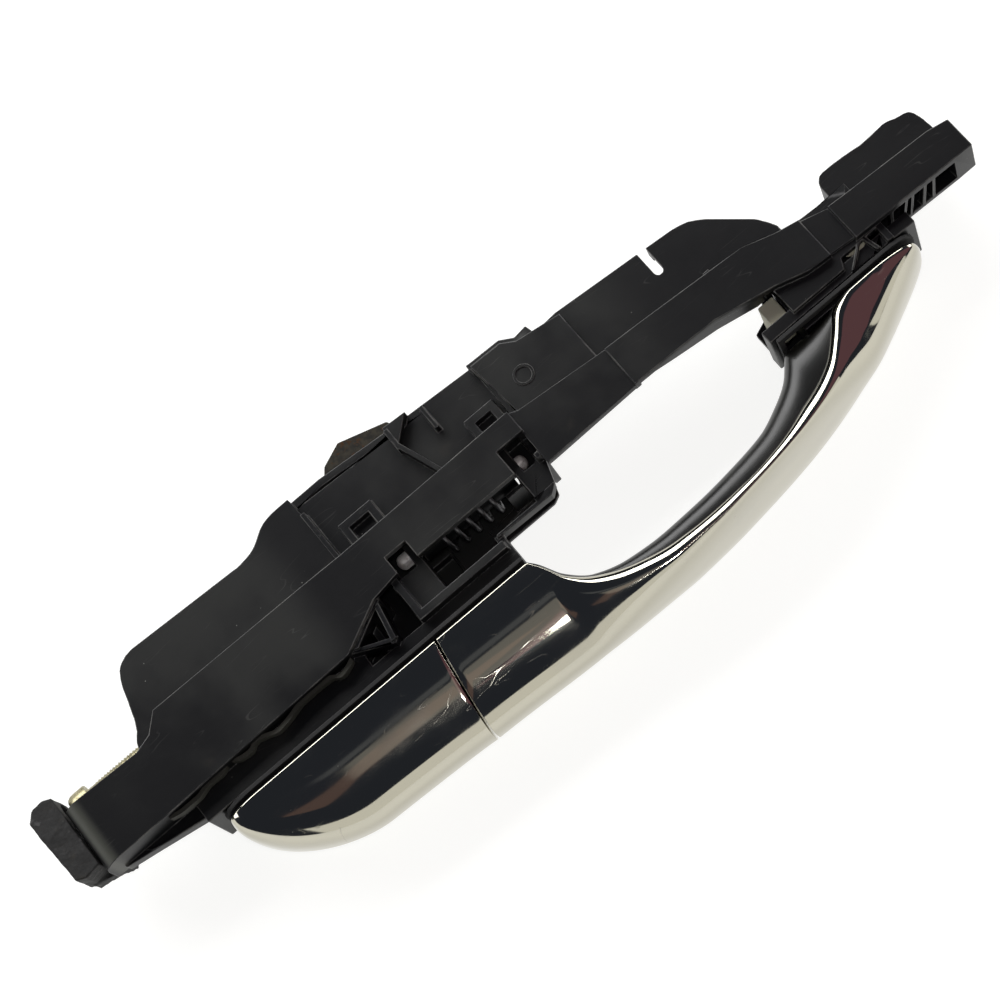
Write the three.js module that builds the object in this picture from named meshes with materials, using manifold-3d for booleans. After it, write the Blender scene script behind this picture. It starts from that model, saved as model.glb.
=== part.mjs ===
// Exterior pull-type door handle, right-hand door, with its carrier and release lever. Millimetres.
//
// Frame: +X runs along the handle towards its hinged end (front of the car), +Y points into the door,
// -Y out to the street, +Z up. Y = 0 is the inner face of the door skin, X = 0 is the joint between
// the fixed cap and the moving grip, and Z = 0 is the middle of the handle's height.

import * as THREE from 'three';
import { mergeVertices } from 'three/addons/utils/BufferGeometryUtils.js';
import Module from 'manifold-3d';

const wasm = await Module();
wasm.setup();

// ---------------------------------------------------------------- driving dimensions

const GAP = 0.3;                  // daylight between neighbouring pieces
const HALF_HEIGHT = 13.4;         // half the height of the handle's widest line
const SHELL_WALL = 1.8;           // wall of the plated shells
const SPLIT_Y = -3.7;             // plane where the plated shells meet their black bases
const BASE_Y = -2.2;              // underside of the black bases
const GASKET_Y = [-1.9, -0.3];    // gasket, squeezed between base and door skin

const CAP_TIP_X = -73.5;
const GRIP_TIP_X = 165;
const JOINT_SLOPE = 0.155;        // the cap-to-grip joint leans towards the cap as it goes out
const JOINT_HALF_GAP = 0.35;

const HINGE = { x: 152, y: 9, r: 2.5 };            // vertical pin that the grip swings on
const PIN = { y: 22, z: 5, r: 2.2 };               // lever pin, along X
const FINGER_RADIUS = 16;                          // lever pin to the finger's round end
const FINGER_REST = THREE.MathUtils.degToRad(24.75); // finger leans into the door at rest
const WINDOW = { x: [10, 18], halfY: 3.1 };        // window in the pull arm, round the finger's end

const RIBBON_Z = 15;              // top of the carrier's upper flange
const RIBBON_T = 2.5;
const WALL = 2;                   // moulded wall of the carrier
const DECK_Z = 9;                 // top of the carrier's inboard deck
const DECK_T = 2.5;
const RECESS_Z = 5.5;             // floor of the deck's recess behind the lever

// ---------------------------------------------------------------- materials

const finish = (color, roughness, metalness) => () => (
  new THREE.MeshStandardMaterial({ color, roughness, metalness }));

const chrome = finish(0xd8d9d6, 0.06, 1);
const blackNylon = finish(0x1b1c1e, 0.55, 0);
const satinBlack = finish(0x121315, 0.35, 0);
const blackRubber = finish(0x0e0e0f, 0.85, 0);
const foam = finish(0x17150f, 0.95, 0);
const brightSteel = finish(0xb9b4ab, 0.35, 1);
const springSteel = finish(0x55575a, 0.4, 1);
const yellowZinc = finish(0xb6a369, 0.38, 1);
const greyZinc = finish(0x8c8a84, 0.5, 1);
const naturalNylon = finish(0xc3bfa9, 0.5, 0);

// ---------------------------------------------------------------- solids

function solid(geometry) {
  const plain = geometry.clone();
  plain.deleteAttribute('normal');
  plain.deleteAttribute('uv');
  const merged = mergeVertices(plain, 1e-4);
  const build = (triVerts) => new wasm.Manifold(new wasm.Mesh({
    numProp: 3,
    vertProperties: new Float32Array(merged.attributes.position.array),
    triVerts: new Uint32Array(triVerts),
  }));
  const body = build(merged.index.array);
  return body.volume() > 0 ? body : build([...merged.index.array].reverse());
}

const join = (parts) => parts.reduce((sum, part) => sum.add(part));
const cut = (body, tools) => tools.reduce((left, tool) => left.subtract(tool), body);

function toGeometry(body) {
  const mesh = body.getMesh();
  const points = [];
  for (const vertex of mesh.triVerts) {
    const start = vertex * mesh.numProp;
    points.push(...mesh.vertProperties.slice(start, start + 3));
  }
  const geometry = new THREE.BufferGeometry();
  geometry.setAttribute('position', new THREE.Float32BufferAttribute(points, 3));
  geometry.computeVertexNormals();
  return geometry;
}

// A block between two corners, given as [low, high] along each axis.
function block([x0, x1], [y0, y1], [z0, z1]) {
  const geometry = new THREE.BoxGeometry(x1 - x0, y1 - y0, z1 - z0);
  geometry.translate((x0 + x1) / 2, (y0 + y1) / 2, (z0 + z1) / 2);
  return solid(geometry);
}

// An outline in plan, raised from one height to another.
function prism(outline, [z0, z1]) {
  const shape = new THREE.Shape(outline.map(([x, y]) => new THREE.Vector2(x, y)));
  const geometry = new THREE.ExtrudeGeometry(shape, { depth: z1 - z0, bevelEnabled: false });
  geometry.translate(0, 0, z0);
  return solid(geometry);
}

// A round bar along one axis: `at` is the middle of its two other coordinates, in x, y, z order.
function bar(axis, radius, [from, to], at, sides = 20) {
  const geometry = new THREE.CylinderGeometry(radius, radius, to - from, sides);
  const middle = (from + to) / 2;
  if (axis === 'x') {
    geometry.rotateZ(Math.PI / 2);
    geometry.translate(middle, at[0], at[1]);
  } else if (axis === 'y') {
    geometry.translate(at[0], middle, at[1]);
  } else {
    geometry.rotateX(Math.PI / 2);
    geometry.translate(at[0], at[1], middle);
  }
  return solid(geometry);
}

// A skin through one section per station along X. `pointAt(x, turn)` gives y and z of the section's
// edge for turn 0 to 1, and its middle where turn is null.
function loft(stations, sides, pointAt) {
  const geometry = new THREE.CylinderGeometry(1, 1, 1, sides, stations.length - 1);
  const place = geometry.attributes.position;
  for (let i = 0; i < place.count; i += 1) {
    const row = Math.round((0.5 - place.getY(i)) * (stations.length - 1));
    const onEdge = Math.hypot(place.getX(i), place.getZ(i)) > 0.5;
    const angle = Math.atan2(place.getX(i), place.getZ(i)) / (2 * Math.PI);
    const turn = onEdge ? Math.round(((angle + 1) % 1) * sides) / sides % 1 : null;
    const [y, z] = pointAt(stations[row], turn);
    place.setXYZ(i, stations[row], y, z);
  }
  return solid(geometry);
}

// A smooth curve through a few [x, value] points, which never swings past them.
function curveThrough(points) {
  const slope = (i) => (points[i + 1][1] - points[i][1]) / (points[i + 1][0] - points[i][0]);
  const tangents = points.map((_, i) => {
    if (i === 0) return slope(0);
    if (i === points.length - 1) return slope(i - 1);
    const [before, after] = [slope(i - 1), slope(i)];
    return before * after <= 0 ? 0 : (2 * before * after) / (before + after);
  });
  return (x) => {
    const next = points.findIndex(([px]) => px > x);
    const i = next === -1 ? points.length - 2 : Math.max(0, next - 1);
    const [x0, v0] = points[i];
    const [x1, v1] = points[i + 1];
    const t = Math.min(1, Math.max(0, (x - x0) / (x1 - x0)));
    const span = x1 - x0;
    return (2 * t ** 3 - 3 * t ** 2 + 1) * v0 + (t ** 3 - 2 * t ** 2 + t) * span * tangents[i]
      + (3 * t ** 2 - 2 * t ** 3) * v1 + (t ** 3 - t ** 2) * span * tangents[i + 1];
  };
}

// How full a section is near a rounded end: 1 from `length` inwards, 0 at the tip.
function endFullness(distanceFromTip, length, power) {
  if (distanceFromTip >= length) return 1;
  const reach = 1 - Math.max(0, distanceFromTip) / length;
  return (1 - reach ** power) ** (1 / power);
}

// ---------------------------------------------------------------- outer form of the handle

// How far the street side stands off, from cap to front tip.
const streetSide = curveThrough([
  [-73, -28], [-37, -29], [0, -30.6], [35, -32.3], [62, -31.5], [86, -29], [104, -26.3],
  [124, -22.6], [138, -19.4], [151, -16], [168, -12],
]);
// The line where plated shell and black shell meet. It dives outwards along the hand gap.
const splitLine = curveThrough([
  [31.5, SPLIT_Y], [33.5, -6.3], [37, -12.6], [43.3, -17.9], [53.5, -22.3], [65, -24.8], [75, -25.4],
  [90, -25], [102, -23.1], [113.7, -19], [121, -15.3], [129, -9.3], [133, -5.6], [139, SPLIT_Y],
  [150, SPLIT_Y], [GRIP_TIP_X, SPLIT_Y - 0.9],
]);
// Underside of the black shell: it rests on the gasket at both ends and bows out between them.
const handSide = curveThrough([
  [31.5, BASE_Y], [33.5, -4.2], [37, -10.2], [43, -15.4], [53, -18.2], [64, -18.9], [75, -18.6],
  [88.5, -17.5], [99.7, -15.7], [108.4, -11.9], [114.2, -8.2], [117.2, -5], [120, BASE_Y],
  [150, BASE_Y], [GRIP_TIP_X, BASE_Y - 1.35],
]);

function fullness(x) {
  const capEnd = endFullness(x - CAP_TIP_X, 34, 1.75);
  const gripEnd = endFullness(GRIP_TIP_X - x, 30, 1.6);
  return Math.min(capEnd, gripEnd);
}

function halfHeight(x) {
  const capEnd = endFullness(x - CAP_TIP_X, 13, 2.4);
  const gripEnd = endFullness(GRIP_TIP_X - x, 13, 2);
  return HALF_HEIGHT * (0.34 + 0.66 * Math.min(capEnd, gripEnd));
}

// The lower edge sweeps up to the front tip, so the sections there are centred higher.
const TIP_LIFT = 3.4;
const lift = (x) => TIP_LIFT * Math.max(0, 1 - (GRIP_TIP_X - x) / 16) ** 2;

// Half a rounded section. `depth` is how far it reaches from the line at `lineY`, `height` its
// half height there, and `power` how square it is. The rest of the turn runs back along the line.
const ARC_SHARE = 0.8;
function halfSection(turn, lineY, depth, height, power) {
  if (turn === null) return [lineY + depth * 0.4, 0];
  if (turn <= ARC_SHARE) {
    const angle = (turn / ARC_SHARE - 0.5) * Math.PI;
    const c = Math.max(0, Math.cos(angle));
    const s = Math.sin(angle);
    return [lineY + depth * c ** (2 / power), height * Math.sign(s) * Math.abs(s) ** (2 / power)];
  }
  const back = (turn - ARC_SHARE) / (1 - ARC_SHARE);
  return [lineY, height * (1 - 2 * back)];
}

const SECTION_SIDES = 20;
const PLATED_POWER = 2.7;
const BLACK_POWER = 3.2;

const steps = (from, to, count) => (
  Array.from({ length: count + 1 }, (_, i) => from + ((to - from) * i) / count));
// Stations crowd towards a tip, where the form turns quickly.
const tipSteps = (tip, inner, count) => (
  Array.from({ length: count + 1 }, (_, i) => tip + (inner - tip) * (i / count) ** 1.8));

const CAP_STATIONS = [...tipSteps(CAP_TIP_X + 0.3, -34, 8), -16, 4];
const GRIP_STATIONS = [
  -8, 8, 22, 29, ...steps(31.5, 46, 7), 53, 62, 72, 82, 92, 101, 108, 113,
  ...steps(117, 139, 8), ...tipSteps(GRIP_TIP_X - 0.3, 143, 7).reverse(),
];

const lifted = (x, [y, z]) => [y, z + lift(x)];

// Everything on the cap's side of the slanted joint, `back` millimetres away from it.
function capSide(back) {
  const edge = (y) => JOINT_SLOPE * (y - SPLIT_Y) - back;
  return prism([[-90, 5], [-90, -45], [edge(-45), -45], [edge(5), 5]], [-30, 30]);
}

function gripSide(back) {
  const edge = (y) => JOINT_SLOPE * (y - SPLIT_Y) + back;
  return prism([[edge(5), 5], [edge(-45), -45], [190, -45], [190, 5]], [-30, 30]);
}

// A plated shell: the outer half of the handle's section, hollow from behind.
function platedHalf(stations, line, wall) {
  return loft(stations, SECTION_SIDES, (x, turn) => {
    const depth = (streetSide(x) - line(x)) * fullness(x);
    return lifted(x, halfSection(
      turn, line(x), Math.min(-0.5, depth + wall), halfHeight(x) - wall, PLATED_POWER,
    ));
  });
}

// The hollow of a plated shell starts beyond the split line so that it breaks through the back.
function platedHollow(stations, line) {
  return loft(stations, SECTION_SIDES, (x, turn) => {
    const back = line(x) + 2;
    const reach = Math.min(-3, (streetSide(x) - line(x)) * fullness(x) + SHELL_WALL) - 2;
    return lifted(x, halfSection(turn, back, reach, halfHeight(x) - SHELL_WALL, PLATED_POWER));
  });
}

// ---------------------------------------------------------------- cap (fixed)

const CAP_LINE = () => SPLIT_Y;
const SHANK = { x: [-44, -31], z: [-6, 6] };       // the cap's shank, gripped by the clamp
const CLAMP_X = [-58, -46];

function capShell() {
  const hollowStations = [...tipSteps(CAP_TIP_X + 3, -34, 6), -16, -3.5];
  return cut(platedHalf(CAP_STATIONS, CAP_LINE, 0).intersect(capSide(JOINT_HALF_GAP)), [
    platedHollow(hollowStations, CAP_LINE),
    block([SHANK.x[0] - 1, SHANK.x[1] + 1], [SPLIT_Y - 2, SPLIT_Y + 2], [-7, 7]),
  ]);
}

function capBase() {
  const plate = loft(CAP_STATIONS, SECTION_SIDES, (x, turn) => (
    halfSection(turn, SPLIT_Y + GAP, BASE_Y - SPLIT_Y - GAP, halfHeight(x) - 0.4, 6)));
  const shank = block(SHANK.x, [BASE_Y - 1, 18], SHANK.z);
  const wedgeSlot = block([SHANK.x[0] - 1, SHANK.x[0] + 3], [10, 14], [-7, 7]);
  const stiffeners = [-24, -14].map((x) => block([x, x + 2], [SPLIT_Y - 8, BASE_Y - 0.5], [-8, 8]));
  return join([plate, cut(shank, [wedgeSlot]), ...stiffeners]).intersect(capSide(JOINT_HALF_GAP + 0.3)
    .add(block([-50, -20], [-5, 20], [-8, 8])));
}

// ---------------------------------------------------------------- grip (moves)

function gripOuterShell() {
  const hollowStations = GRIP_STATIONS.filter((x) => x < 160);
  hollowStations[0] = 2;
  const body = platedHalf(GRIP_STATIONS, splitLine, 0).intersect(gripSide(JOINT_HALF_GAP));
  const bosses = Object.values(SCREW_X).map((x) => (
    bar('y', 3.6, [-40, BOSS_Y - GAP], [x, 0]).intersect(body)));
  const bores = Object.values(SCREW_X).map((x) => bar('y', 1.9, [-12.4, 0], [x, 0]));
  return cut(join([body.subtract(platedHollow(hollowStations, splitLine)), ...bosses]), bores);
}

const PULL_ARM_X = [7.5, 21];
const PULL_ARM_Z = [-13.2, -7.4];
const HINGE_ARM_X = [127.5, 157];
const HINGE_ARM_Z = [-9, 9];
const SCREW_X = { rear: 26.5, front: 146 };
const BOSS_Y = SPLIT_Y - 2.8;                      // where the two shells' screw bosses meet

function gripInnerShell() {
  const half = loft(GRIP_STATIONS, SECTION_SIDES, (x, turn) => {
    const line = splitLine(x) + GAP;
    return lifted(x, halfSection(turn, line, handSide(x) - line, halfHeight(x) - 0.3, BLACK_POWER));
  });
  const hollow = loft([46, 53, 62, 72, 82, 92, 101, 110], SECTION_SIDES, (x, turn) => {
    const line = splitLine(x) - 1;
    return halfSection(turn, line, handSide(x) - line - 2.2, halfHeight(x) - 2.6, BLACK_POWER);
  });
  const bosses = Object.values(SCREW_X).map((x) => bar('y', 4.4, [BOSS_Y, BASE_Y - 0.4], [x, 0]));
  const bores = Object.values(SCREW_X).flatMap((x) => [
    bar('y', 2, [SPLIT_Y - 9, 5], [x, 0]),
    bar('y', 3.5, [BASE_Y - 2.7, 5], [x, 0]),
  ]);
  const seats = [
    block(
      [PULL_ARM_X[0] - GAP, PULL_ARM_X[1] + GAP], [BASE_Y - 1, 5],
      [PULL_ARM_Z[0] - 1, PULL_ARM_Z[1] + GAP],
    ),
    block([HINGE_ARM_X[0] - GAP, 142], [BASE_Y - 1, 5], [HINGE_ARM_Z[0] - GAP, HINGE_ARM_Z[1] + GAP]),
  ];
  const shell = join([half, ...bosses]).intersect(gripSide(JOINT_HALF_GAP + 0.3));
  return cut(shell, [hollow, ...bores, ...seats]);
}

// Rear arm: reaches through the door skin and takes the lever's finger in its window.
function gripPullArm() {
  const fingerY = PIN.y + FINGER_RADIUS * Math.sin(FINGER_REST);
  const arm = prism([
    [PULL_ARM_X[0], BASE_Y - 0.7], [PULL_ARM_X[1], BASE_Y - 0.7], [PULL_ARM_X[1], 6],
    [20, 12], [20, fingerY + 4.5], [18.5, fingerY + 6], [9, fingerY + 6],
    [PULL_ARM_X[0], fingerY + 4.5],
  ], PULL_ARM_Z);
  const window = block(WINDOW.x, [fingerY - WINDOW.halfY, fingerY + WINDOW.halfY], [-20, 0]);
  const lightening = block([10.5, 17], [3, fingerY - WINDOW.halfY - 6], [PULL_ARM_Z[0] + 2, 0]);
  return cut(arm, [window, lightening]);
}

// Front arm: passes through the door skin to the hinge pin.
function gripHingeArm() {
  const outline = [
    [HINGE_ARM_X[0], BASE_Y - 0.7], [141.7, BASE_Y - 0.7], [143, 2.5], [147, 3.6], [152, 3.6],
    [155.6, 5.4], [HINGE_ARM_X[1], 9], [155.6, 12.6], [152, 14], [140, 14], [133, 11.5],
    [HINGE_ARM_X[0], 11.5],
  ];
  return cut(prism(outline, HINGE_ARM_Z), [
    bar('z', BUSH.outer + GAP, [-12, 12], [HINGE.x, HINGE.y]),
    block([131, 145], [5.5, 10.5], [-12, -3]),
    block([131, 145], [5.5, 10.5], [3, 12]),
  ]);
}

// One of the two flanged bushes in the hinge arm. It stands on z = 0 and its flange is on top.
const BUSH = { inner: HINGE.r + GAP, outer: 3.8, flange: 5.2, length: 7.4, flangeT: 0.9 };
function hingeBush() {
  const flangeZ = BUSH.length - BUSH.flangeT;
  const profile = [
    [BUSH.inner, 0], [BUSH.outer, 0], [BUSH.outer, flangeZ], [BUSH.flange, flangeZ],
    [BUSH.flange, BUSH.length], [BUSH.inner, BUSH.length], [BUSH.inner, 0],
  ].map(([r, h]) => new THREE.Vector2(r, h));
  const geometry = new THREE.LatheGeometry(profile, 20);
  geometry.rotateX(Math.PI / 2);
  return solid(geometry);
}

// A star-drive screw, head at y = 0 and pointing along +Y of its own frame.
function screw(headRadius, headHeight, radius, length) {
  const profile = [
    [0, 0], [headRadius * 0.8, 0], [headRadius, headHeight * 0.4], [headRadius, headHeight],
    [radius, headHeight], [radius, length - 1.2], [radius * 0.5, length], [0, length],
  ].map(([r, h]) => new THREE.Vector2(r, h));
  const star = [0, 1, 2].map((i) => solid(
    new THREE.BoxGeometry(headRadius, headHeight, headRadius * 0.3).rotateY((i * Math.PI) / 3),
  ));
  return cut(solid(new THREE.LatheGeometry(profile, 18)), star);
}

// ---------------------------------------------------------------- lever and its spring

// All of the lever is drawn round its own axis, which is X, and hung on the pin afterwards.
const LEVER_X = [11.7, 43.5];
const FINGER_T = 3.5;
const OUTPUT = { radius: 16, rest: THREE.MathUtils.degToRad(-35), x: [40, 43.5], tip: 4.2 };
const HUB_R = 4.2;
const CLIP_R = 1.9;

function bellCrankLever() {
  const finger = join([
    block([LEVER_X[0], LEVER_X[0] + FINGER_T], [-1.3, 1.3], [-FINGER_RADIUS, 0]),
    block([LEVER_X[0], LEVER_X[0] + FINGER_T], [-2.6, 2.6], [-9, 0]),
    bar('x', 2.6, [LEVER_X[0], LEVER_X[0] + FINGER_T], [0, -FINGER_RADIUS]),
  ]).rotate([THREE.MathUtils.radToDeg(FINGER_REST), 0, 0]);
  const output = join([
    block(OUTPUT.x, [0, OUTPUT.radius], [-3.4, 3.4]),
    bar('x', OUTPUT.tip, OUTPUT.x, [OUTPUT.radius, 0]),
  ]).subtract(bar('x', CLIP_R + GAP, [30, 50], [OUTPUT.radius, 0]))
    .rotate([THREE.MathUtils.radToDeg(OUTPUT.rest), 0, 0]);
  const hub = bar('x', HUB_R, LEVER_X, [0, 0], 24);
  return cut(join([hub, finger, output]), [bar('x', PIN.r + GAP, [0, 60], [0, 0], 24)]);
}

// Snap-in clip at the tip of the output arm, which holds the latch rod. Drawn round its own axis.
function rodClip() {
  const rodHole = bar('z', 1.3, [-6, 6], [OUTPUT.x[0] - 2.4, 0], 12);
  return join([
    bar('x', 3.7, [OUTPUT.x[0] - 4.6, OUTPUT.x[0] - GAP], [0, 0]),
    bar('x', CLIP_R, [OUTPUT.x[0] - 1, OUTPUT.x[1] + 1.6], [0, 0]),
    bar('x', 2.1, [OUTPUT.x[1] + GAP, OUTPUT.x[1] + 1.6], [0, 0]),
  ]).subtract(rodHole);
}

// A round wire wound along X, with a straight leg leaving each end on a tangent.
class CoilWithLegs extends THREE.Curve {
  constructor(radius, from, to, turns, leg) {
    super();
    Object.assign(this, { radius, from, to, turns, leg });
  }

  getPoint(t) {
    const legShare = 0.06;
    const wound = THREE.MathUtils.clamp((t - legShare) / (1 - 2 * legShare), 0, 1);
    const beyond = t < legShare ? t - legShare : Math.max(0, t - 1 + legShare);
    const past = (beyond / legShare) * this.leg;
    const angle = wound * this.turns * 2 * Math.PI;
    const along = this.from + (this.to - this.from) * wound;
    return new THREE.Vector3(
      along,
      this.radius * Math.cos(angle) - past * Math.sin(angle),
      this.radius * Math.sin(angle) + past * Math.cos(angle),
    );
  }
}

function coil(radius, wire, [from, to], turns, leg) {
  const corners = Array.from({ length: 6 }, (_, i) => (
    new THREE.Vector2(wire, 0).rotateAround(new THREE.Vector2(), (i * Math.PI) / 3)));
  return new THREE.ExtrudeGeometry(new THREE.Shape(corners), {
    bevelEnabled: false,
    steps: Math.round(turns * 14 + 8),
    extrudePath: new CoilWithLegs(radius, from, to, turns, leg),
  });
}

// ---------------------------------------------------------------- inertia lock

const LOCK = { x: -2, y: 47, pinR: 1.8, z: [-8, 1.6] };
const HUB_LOW = -3;

// A weight that swings out under a side impact. Drawn round its own vertical pin.
function inertiaLock() {
  const weight = prism([
    [6, 3.5], [29, 1.5], [30, 9], [29, 11], [15, 15.5], [8, 12.6], [6, 10],
  ], LOCK.z);
  const neck = block([0, 8], [-2, 4.5], [HUB_LOW, LOCK.z[1] - 0.6]);
  const tooth = prism([[28, -0.5], [41, -0.5], [43, 1], [41, 2.5], [28, 4]], [-6, -2.6]);
  const hub = bar('z', 4, [HUB_LOW, LOCK.z[1]], [0, 0]);
  const hollow = block([10, 25], [5.5, 8.5], [LOCK.z[0] - 1, LOCK.z[0] + 5]);
  return cut(join([weight, neck, tooth, hub]), [
    hollow, bar('z', LOCK.pinR + GAP, [-20, 20], [0, 0]),
  ]);
}

// ---------------------------------------------------------------- carrier (fixed)

// Upper flange in plan, rear to front: [x, street-side edge, door-side edge].
const REAR_RIBBON = [
  [-106, 7, 27.2], [-80.3, 7, 26.3], [-74.8, 7.3, 27.9], [-69.9, 7.4, 32.6], [-20, 8.6, 32.1],
  [-5.5, 15.8, 31.8], [3, 17.2, 31.8], [53.5, 17.2, 32.2],
];
const MID_RIBBON = [[53, 14, 32.2], [56.5, 14, 30.8], [84.5, 14.6, 28]];
const FRONT_RIBBON = [
  [84, 14.6, 28], [96, 14.4, 27.3], [111, 13.8, 26.2], [122, 11.5, 25.4], [129.5, 10, 24.6],
];
const HINGE_RIBBON = [[129, 10.1, 24.7], [137.6, 7.4, 21.8], [145.3, 6.8, 20.2]];
const STEP_RIBBON = [[144, 7.6, 20.4], [154, 6.6, 17.6]];
const PIN_RIBBON = [[153.2, 5.8, 17.7], [161, 5.6, 17.2]];
const TAIL_RIBBON = [[159, 5.6, 17.3], [186, 4.7, 15.9], [192.3, 4.7, 14.6]];
const MID_Z = 13.6;
const FRONT_Z = 14.6;

const band = (keys) => [
  ...keys.map(([x, street]) => [x, street]),
  ...keys.map(([x, , door]) => [x, door]).reverse(),
];

function inset(keys, wall) {
  const last = keys.length - 1;
  return keys.map(([x, street, door], i) => (
    [x + (i === 0 ? wall : 0) - (i === last ? wall : 0), street + wall, door - wall]));
}

// A box section, open below, that follows a stretch of the flange.
function channel(keys, zLow, zTop) {
  return prism(band(keys), [zLow, zTop])
    .subtract(prism(band(inset(keys, WALL)), [zLow - 1, zTop - RIBBON_T]));
}

// An outline in which each corner that has a third value, the length taken off either side, is rounded.
function rounded(corners) {
  const near = ([x, y], [toX, toY], reach) => {
    const share = reach / Math.hypot(toX - x, toY - y);
    return [x + (toX - x) * share, y + (toY - y) * share];
  };
  return corners.flatMap(([x, y, reach], i) => {
    if (!reach) return [[x, y]];
    const [x0, y0] = near([x, y], corners.at(i - 1), reach);
    const [x1, y1] = near([x, y], corners[(i + 1) % corners.length], reach);
    return [0, 0.25, 0.5, 0.75, 1].map((t) => [
      (1 - t) ** 2 * x0 + 2 * t * (1 - t) * x + t ** 2 * x1,
      (1 - t) ** 2 * y0 + 2 * t * (1 - t) * y + t ** 2 * y1,
    ]);
  });
}

const FLANGE_Y = [0, 3.8];
const TAIL_Z = [0, RIBBON_Z];
const PULL_WINDOW = { x: [5, 25], z: [-16, -6.2] };
const SCREW = { head: 4, radius: 2.5, length: 50 };
const SCREW_AXIS = { y: 29, z: 3.7 };

function deck() {
  const edge = rounded([
    [-69, 30.5], [-70, 25.5], [-80, 25.5], [-80.2, 29.8, 2], [-77, 34.1, 2.4], [-75.4, 39, 2.5],
    [-73.3, 46.5, 2.4], [-71, 50.8, 2.4], [-66.7, 52.5, 2.2], [-28.1, 50.6, 2.5], [-22.9, 51.4, 2.6],
    [-17.2, 55.3, 2], [-13.2, 56.2, 2], [2.8, 56.3], [27.9, 54], [54.9, 52.2], [64.4, 51.9], [68.2, 49.5],
    [72.5, 50], [73.2, 46.9], [80.9, 47.3], [107.8, 44.9, 4], [124.3, 43.3, 5], [138.6, 29.9, 2.5],
    [141, 25], [141, 19], [100, 21], [53, 26], [53, 30.5],
  ]);
  const plate = prism(edge, [DECK_Z - DECK_T, DECK_Z]);
  const rim = prism(edge, [-2, DECK_Z]).subtract(prism([
    [-69, 20], [-78, 24], [-73, 38], [-70.5, 47], [-66, 50.3], [-28, 48.5], [-21.5, 49.2], [-15.5, 53.5],
    [2.8, 54], [27.9, 51.8], [54, 50.1], [63.5, 49.8], [67.5, 47.2], [80.9, 45], [107.8, 42.7],
    [123.4, 41.2], [136.6, 29], [138.5, 20],
  ], [-3, DECK_Z]));
  const rimFront = block([2, 145], [18, 60], [-3, 2.5]);
  const recess = prism([[-5.6, 33], [-7.2, 60], [25, 60], [25, 47.5], [29.5, 33]], [RECESS_Z, 12]);
  const darkRecess = prism([[29.5, 33], [25.6, 47.5], [40, 60], [52, 60], [56, 33]], [RECESS_Z, 12]);
  const floor = prism([[-8, 32.8], [-8, 54], [54, 50.5], [57, 32.8]], [RECESS_Z - DECK_T, RECESS_Z]);
  const slot = block([107.9, 110.7], [37.4, 50], [-5, 12]);
  const slotEnd = bar('z', 1.4, [-5, 12], [109.3, 37.4], 16);
  return cut(join([plate, rim.subtract(rimFront), floor]), [recess, darkRecess, slot, slotEnd]);
}

// Raised details on the deck: the recess walls, two open frames, a stepped pad with a round mark.
function deckDetails() {
  const frame = (x, y, width, depth) => cut(
    block([x, x + width], [y, y + depth], [RECESS_Z - 1, RECESS_Z + 2.6]),
    [block([x + 2.4, x + width - 2.4], [y - 1, y + depth - 2.6], [RECESS_Z, 12])],
  );
  const wall = (x, y0, y1) => block([x, x + 1.4], [y0, y1], [RECESS_Z - 1, DECK_Z + 0.6]);
  const padOutline = [[56, 30], [54, 50.5], [64, 50.2], [67.8, 47.6], [81.5, 45.5], [81.5, 29]];
  const pad = prism(padOutline, [DECK_Z - 1, 11]);
  const mark = { x: 63.5, y: 38.6 };
  return join([
    frame(-1.2, 32, 11.4, 9.2), frame(42.8, 32, 10, 8.6),
    wall(-7, 31, 50), wall(24.6, 46, 53), wall(54, 31, 50),
    prism([[24.8, 47], [26, 47.6], [31, 33], [29.6, 32.6]], [RECESS_Z - 1, DECK_Z + 0.6]),
    block([36, 37.4], [44, 52], [RECESS_Z - 1, DECK_Z]),
    pad.add(bar('z', 3, [10, 11.3], [mark.x, mark.y], 24))
      .subtract(bar('z', 2.3, [10.9, 12], [mark.x, mark.y], 24)),
  ]);
}

// Skin seats: the faces that the door skin is clamped against, with their openings.
function skinSeats() {
  const rear = block([-77, 31.5], FLANGE_Y, [-11.3, 9.6]);
  const front = block([118, 168], FLANGE_Y, [-11.3, 11.3]);
  const ties = [-75, -61, -50, -27, -12, 0].map((x) => (
    block([x, x + WALL], [3, x < -20 ? 9 : 17.5], [-7.5, 8])));
  const shelf = prism(
    [[-77, 3.4], [-17, 3.4], [-17, 9.8], [-20, 9.2], [-71, 8.2], [-77, 8.2]], [7.6, 9.6],
  );
  return cut(join([rear, front, shelf, ...ties]), [
    block([SHANK.x[0] - 2, SHANK.x[1] + 2], [-1, 20], [-7.5, 7.5]),
    block(PULL_WINDOW.x, [-1, 10], PULL_WINDOW.z),
    block([120.6, 159], [-1, 5], [-10.3, 10.3]),
  ]);
}

function rearTail() {
  const lip = prism([
    [-103, 9], [-102, 6.4], [-93.6, 5.1], [-83.7, 3.4], [-75, 2], [-70, 2], [-70, 9],
  ], [2, 6]);
  const crossRibs = [-94, -82].map((x) => block([x, x + WALL], [8, 26], [2.5, 13]));
  return cut(join([channel(REAR_RIBBON.slice(0, 4), 2.5, RIBBON_Z), lip, ...crossRibs]), [
    bar('x', SCREW.head + 0.6, [-112, -97.5], [SCREW_AXIS.y, SCREW_AXIS.z]),
  ]);
}

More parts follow.
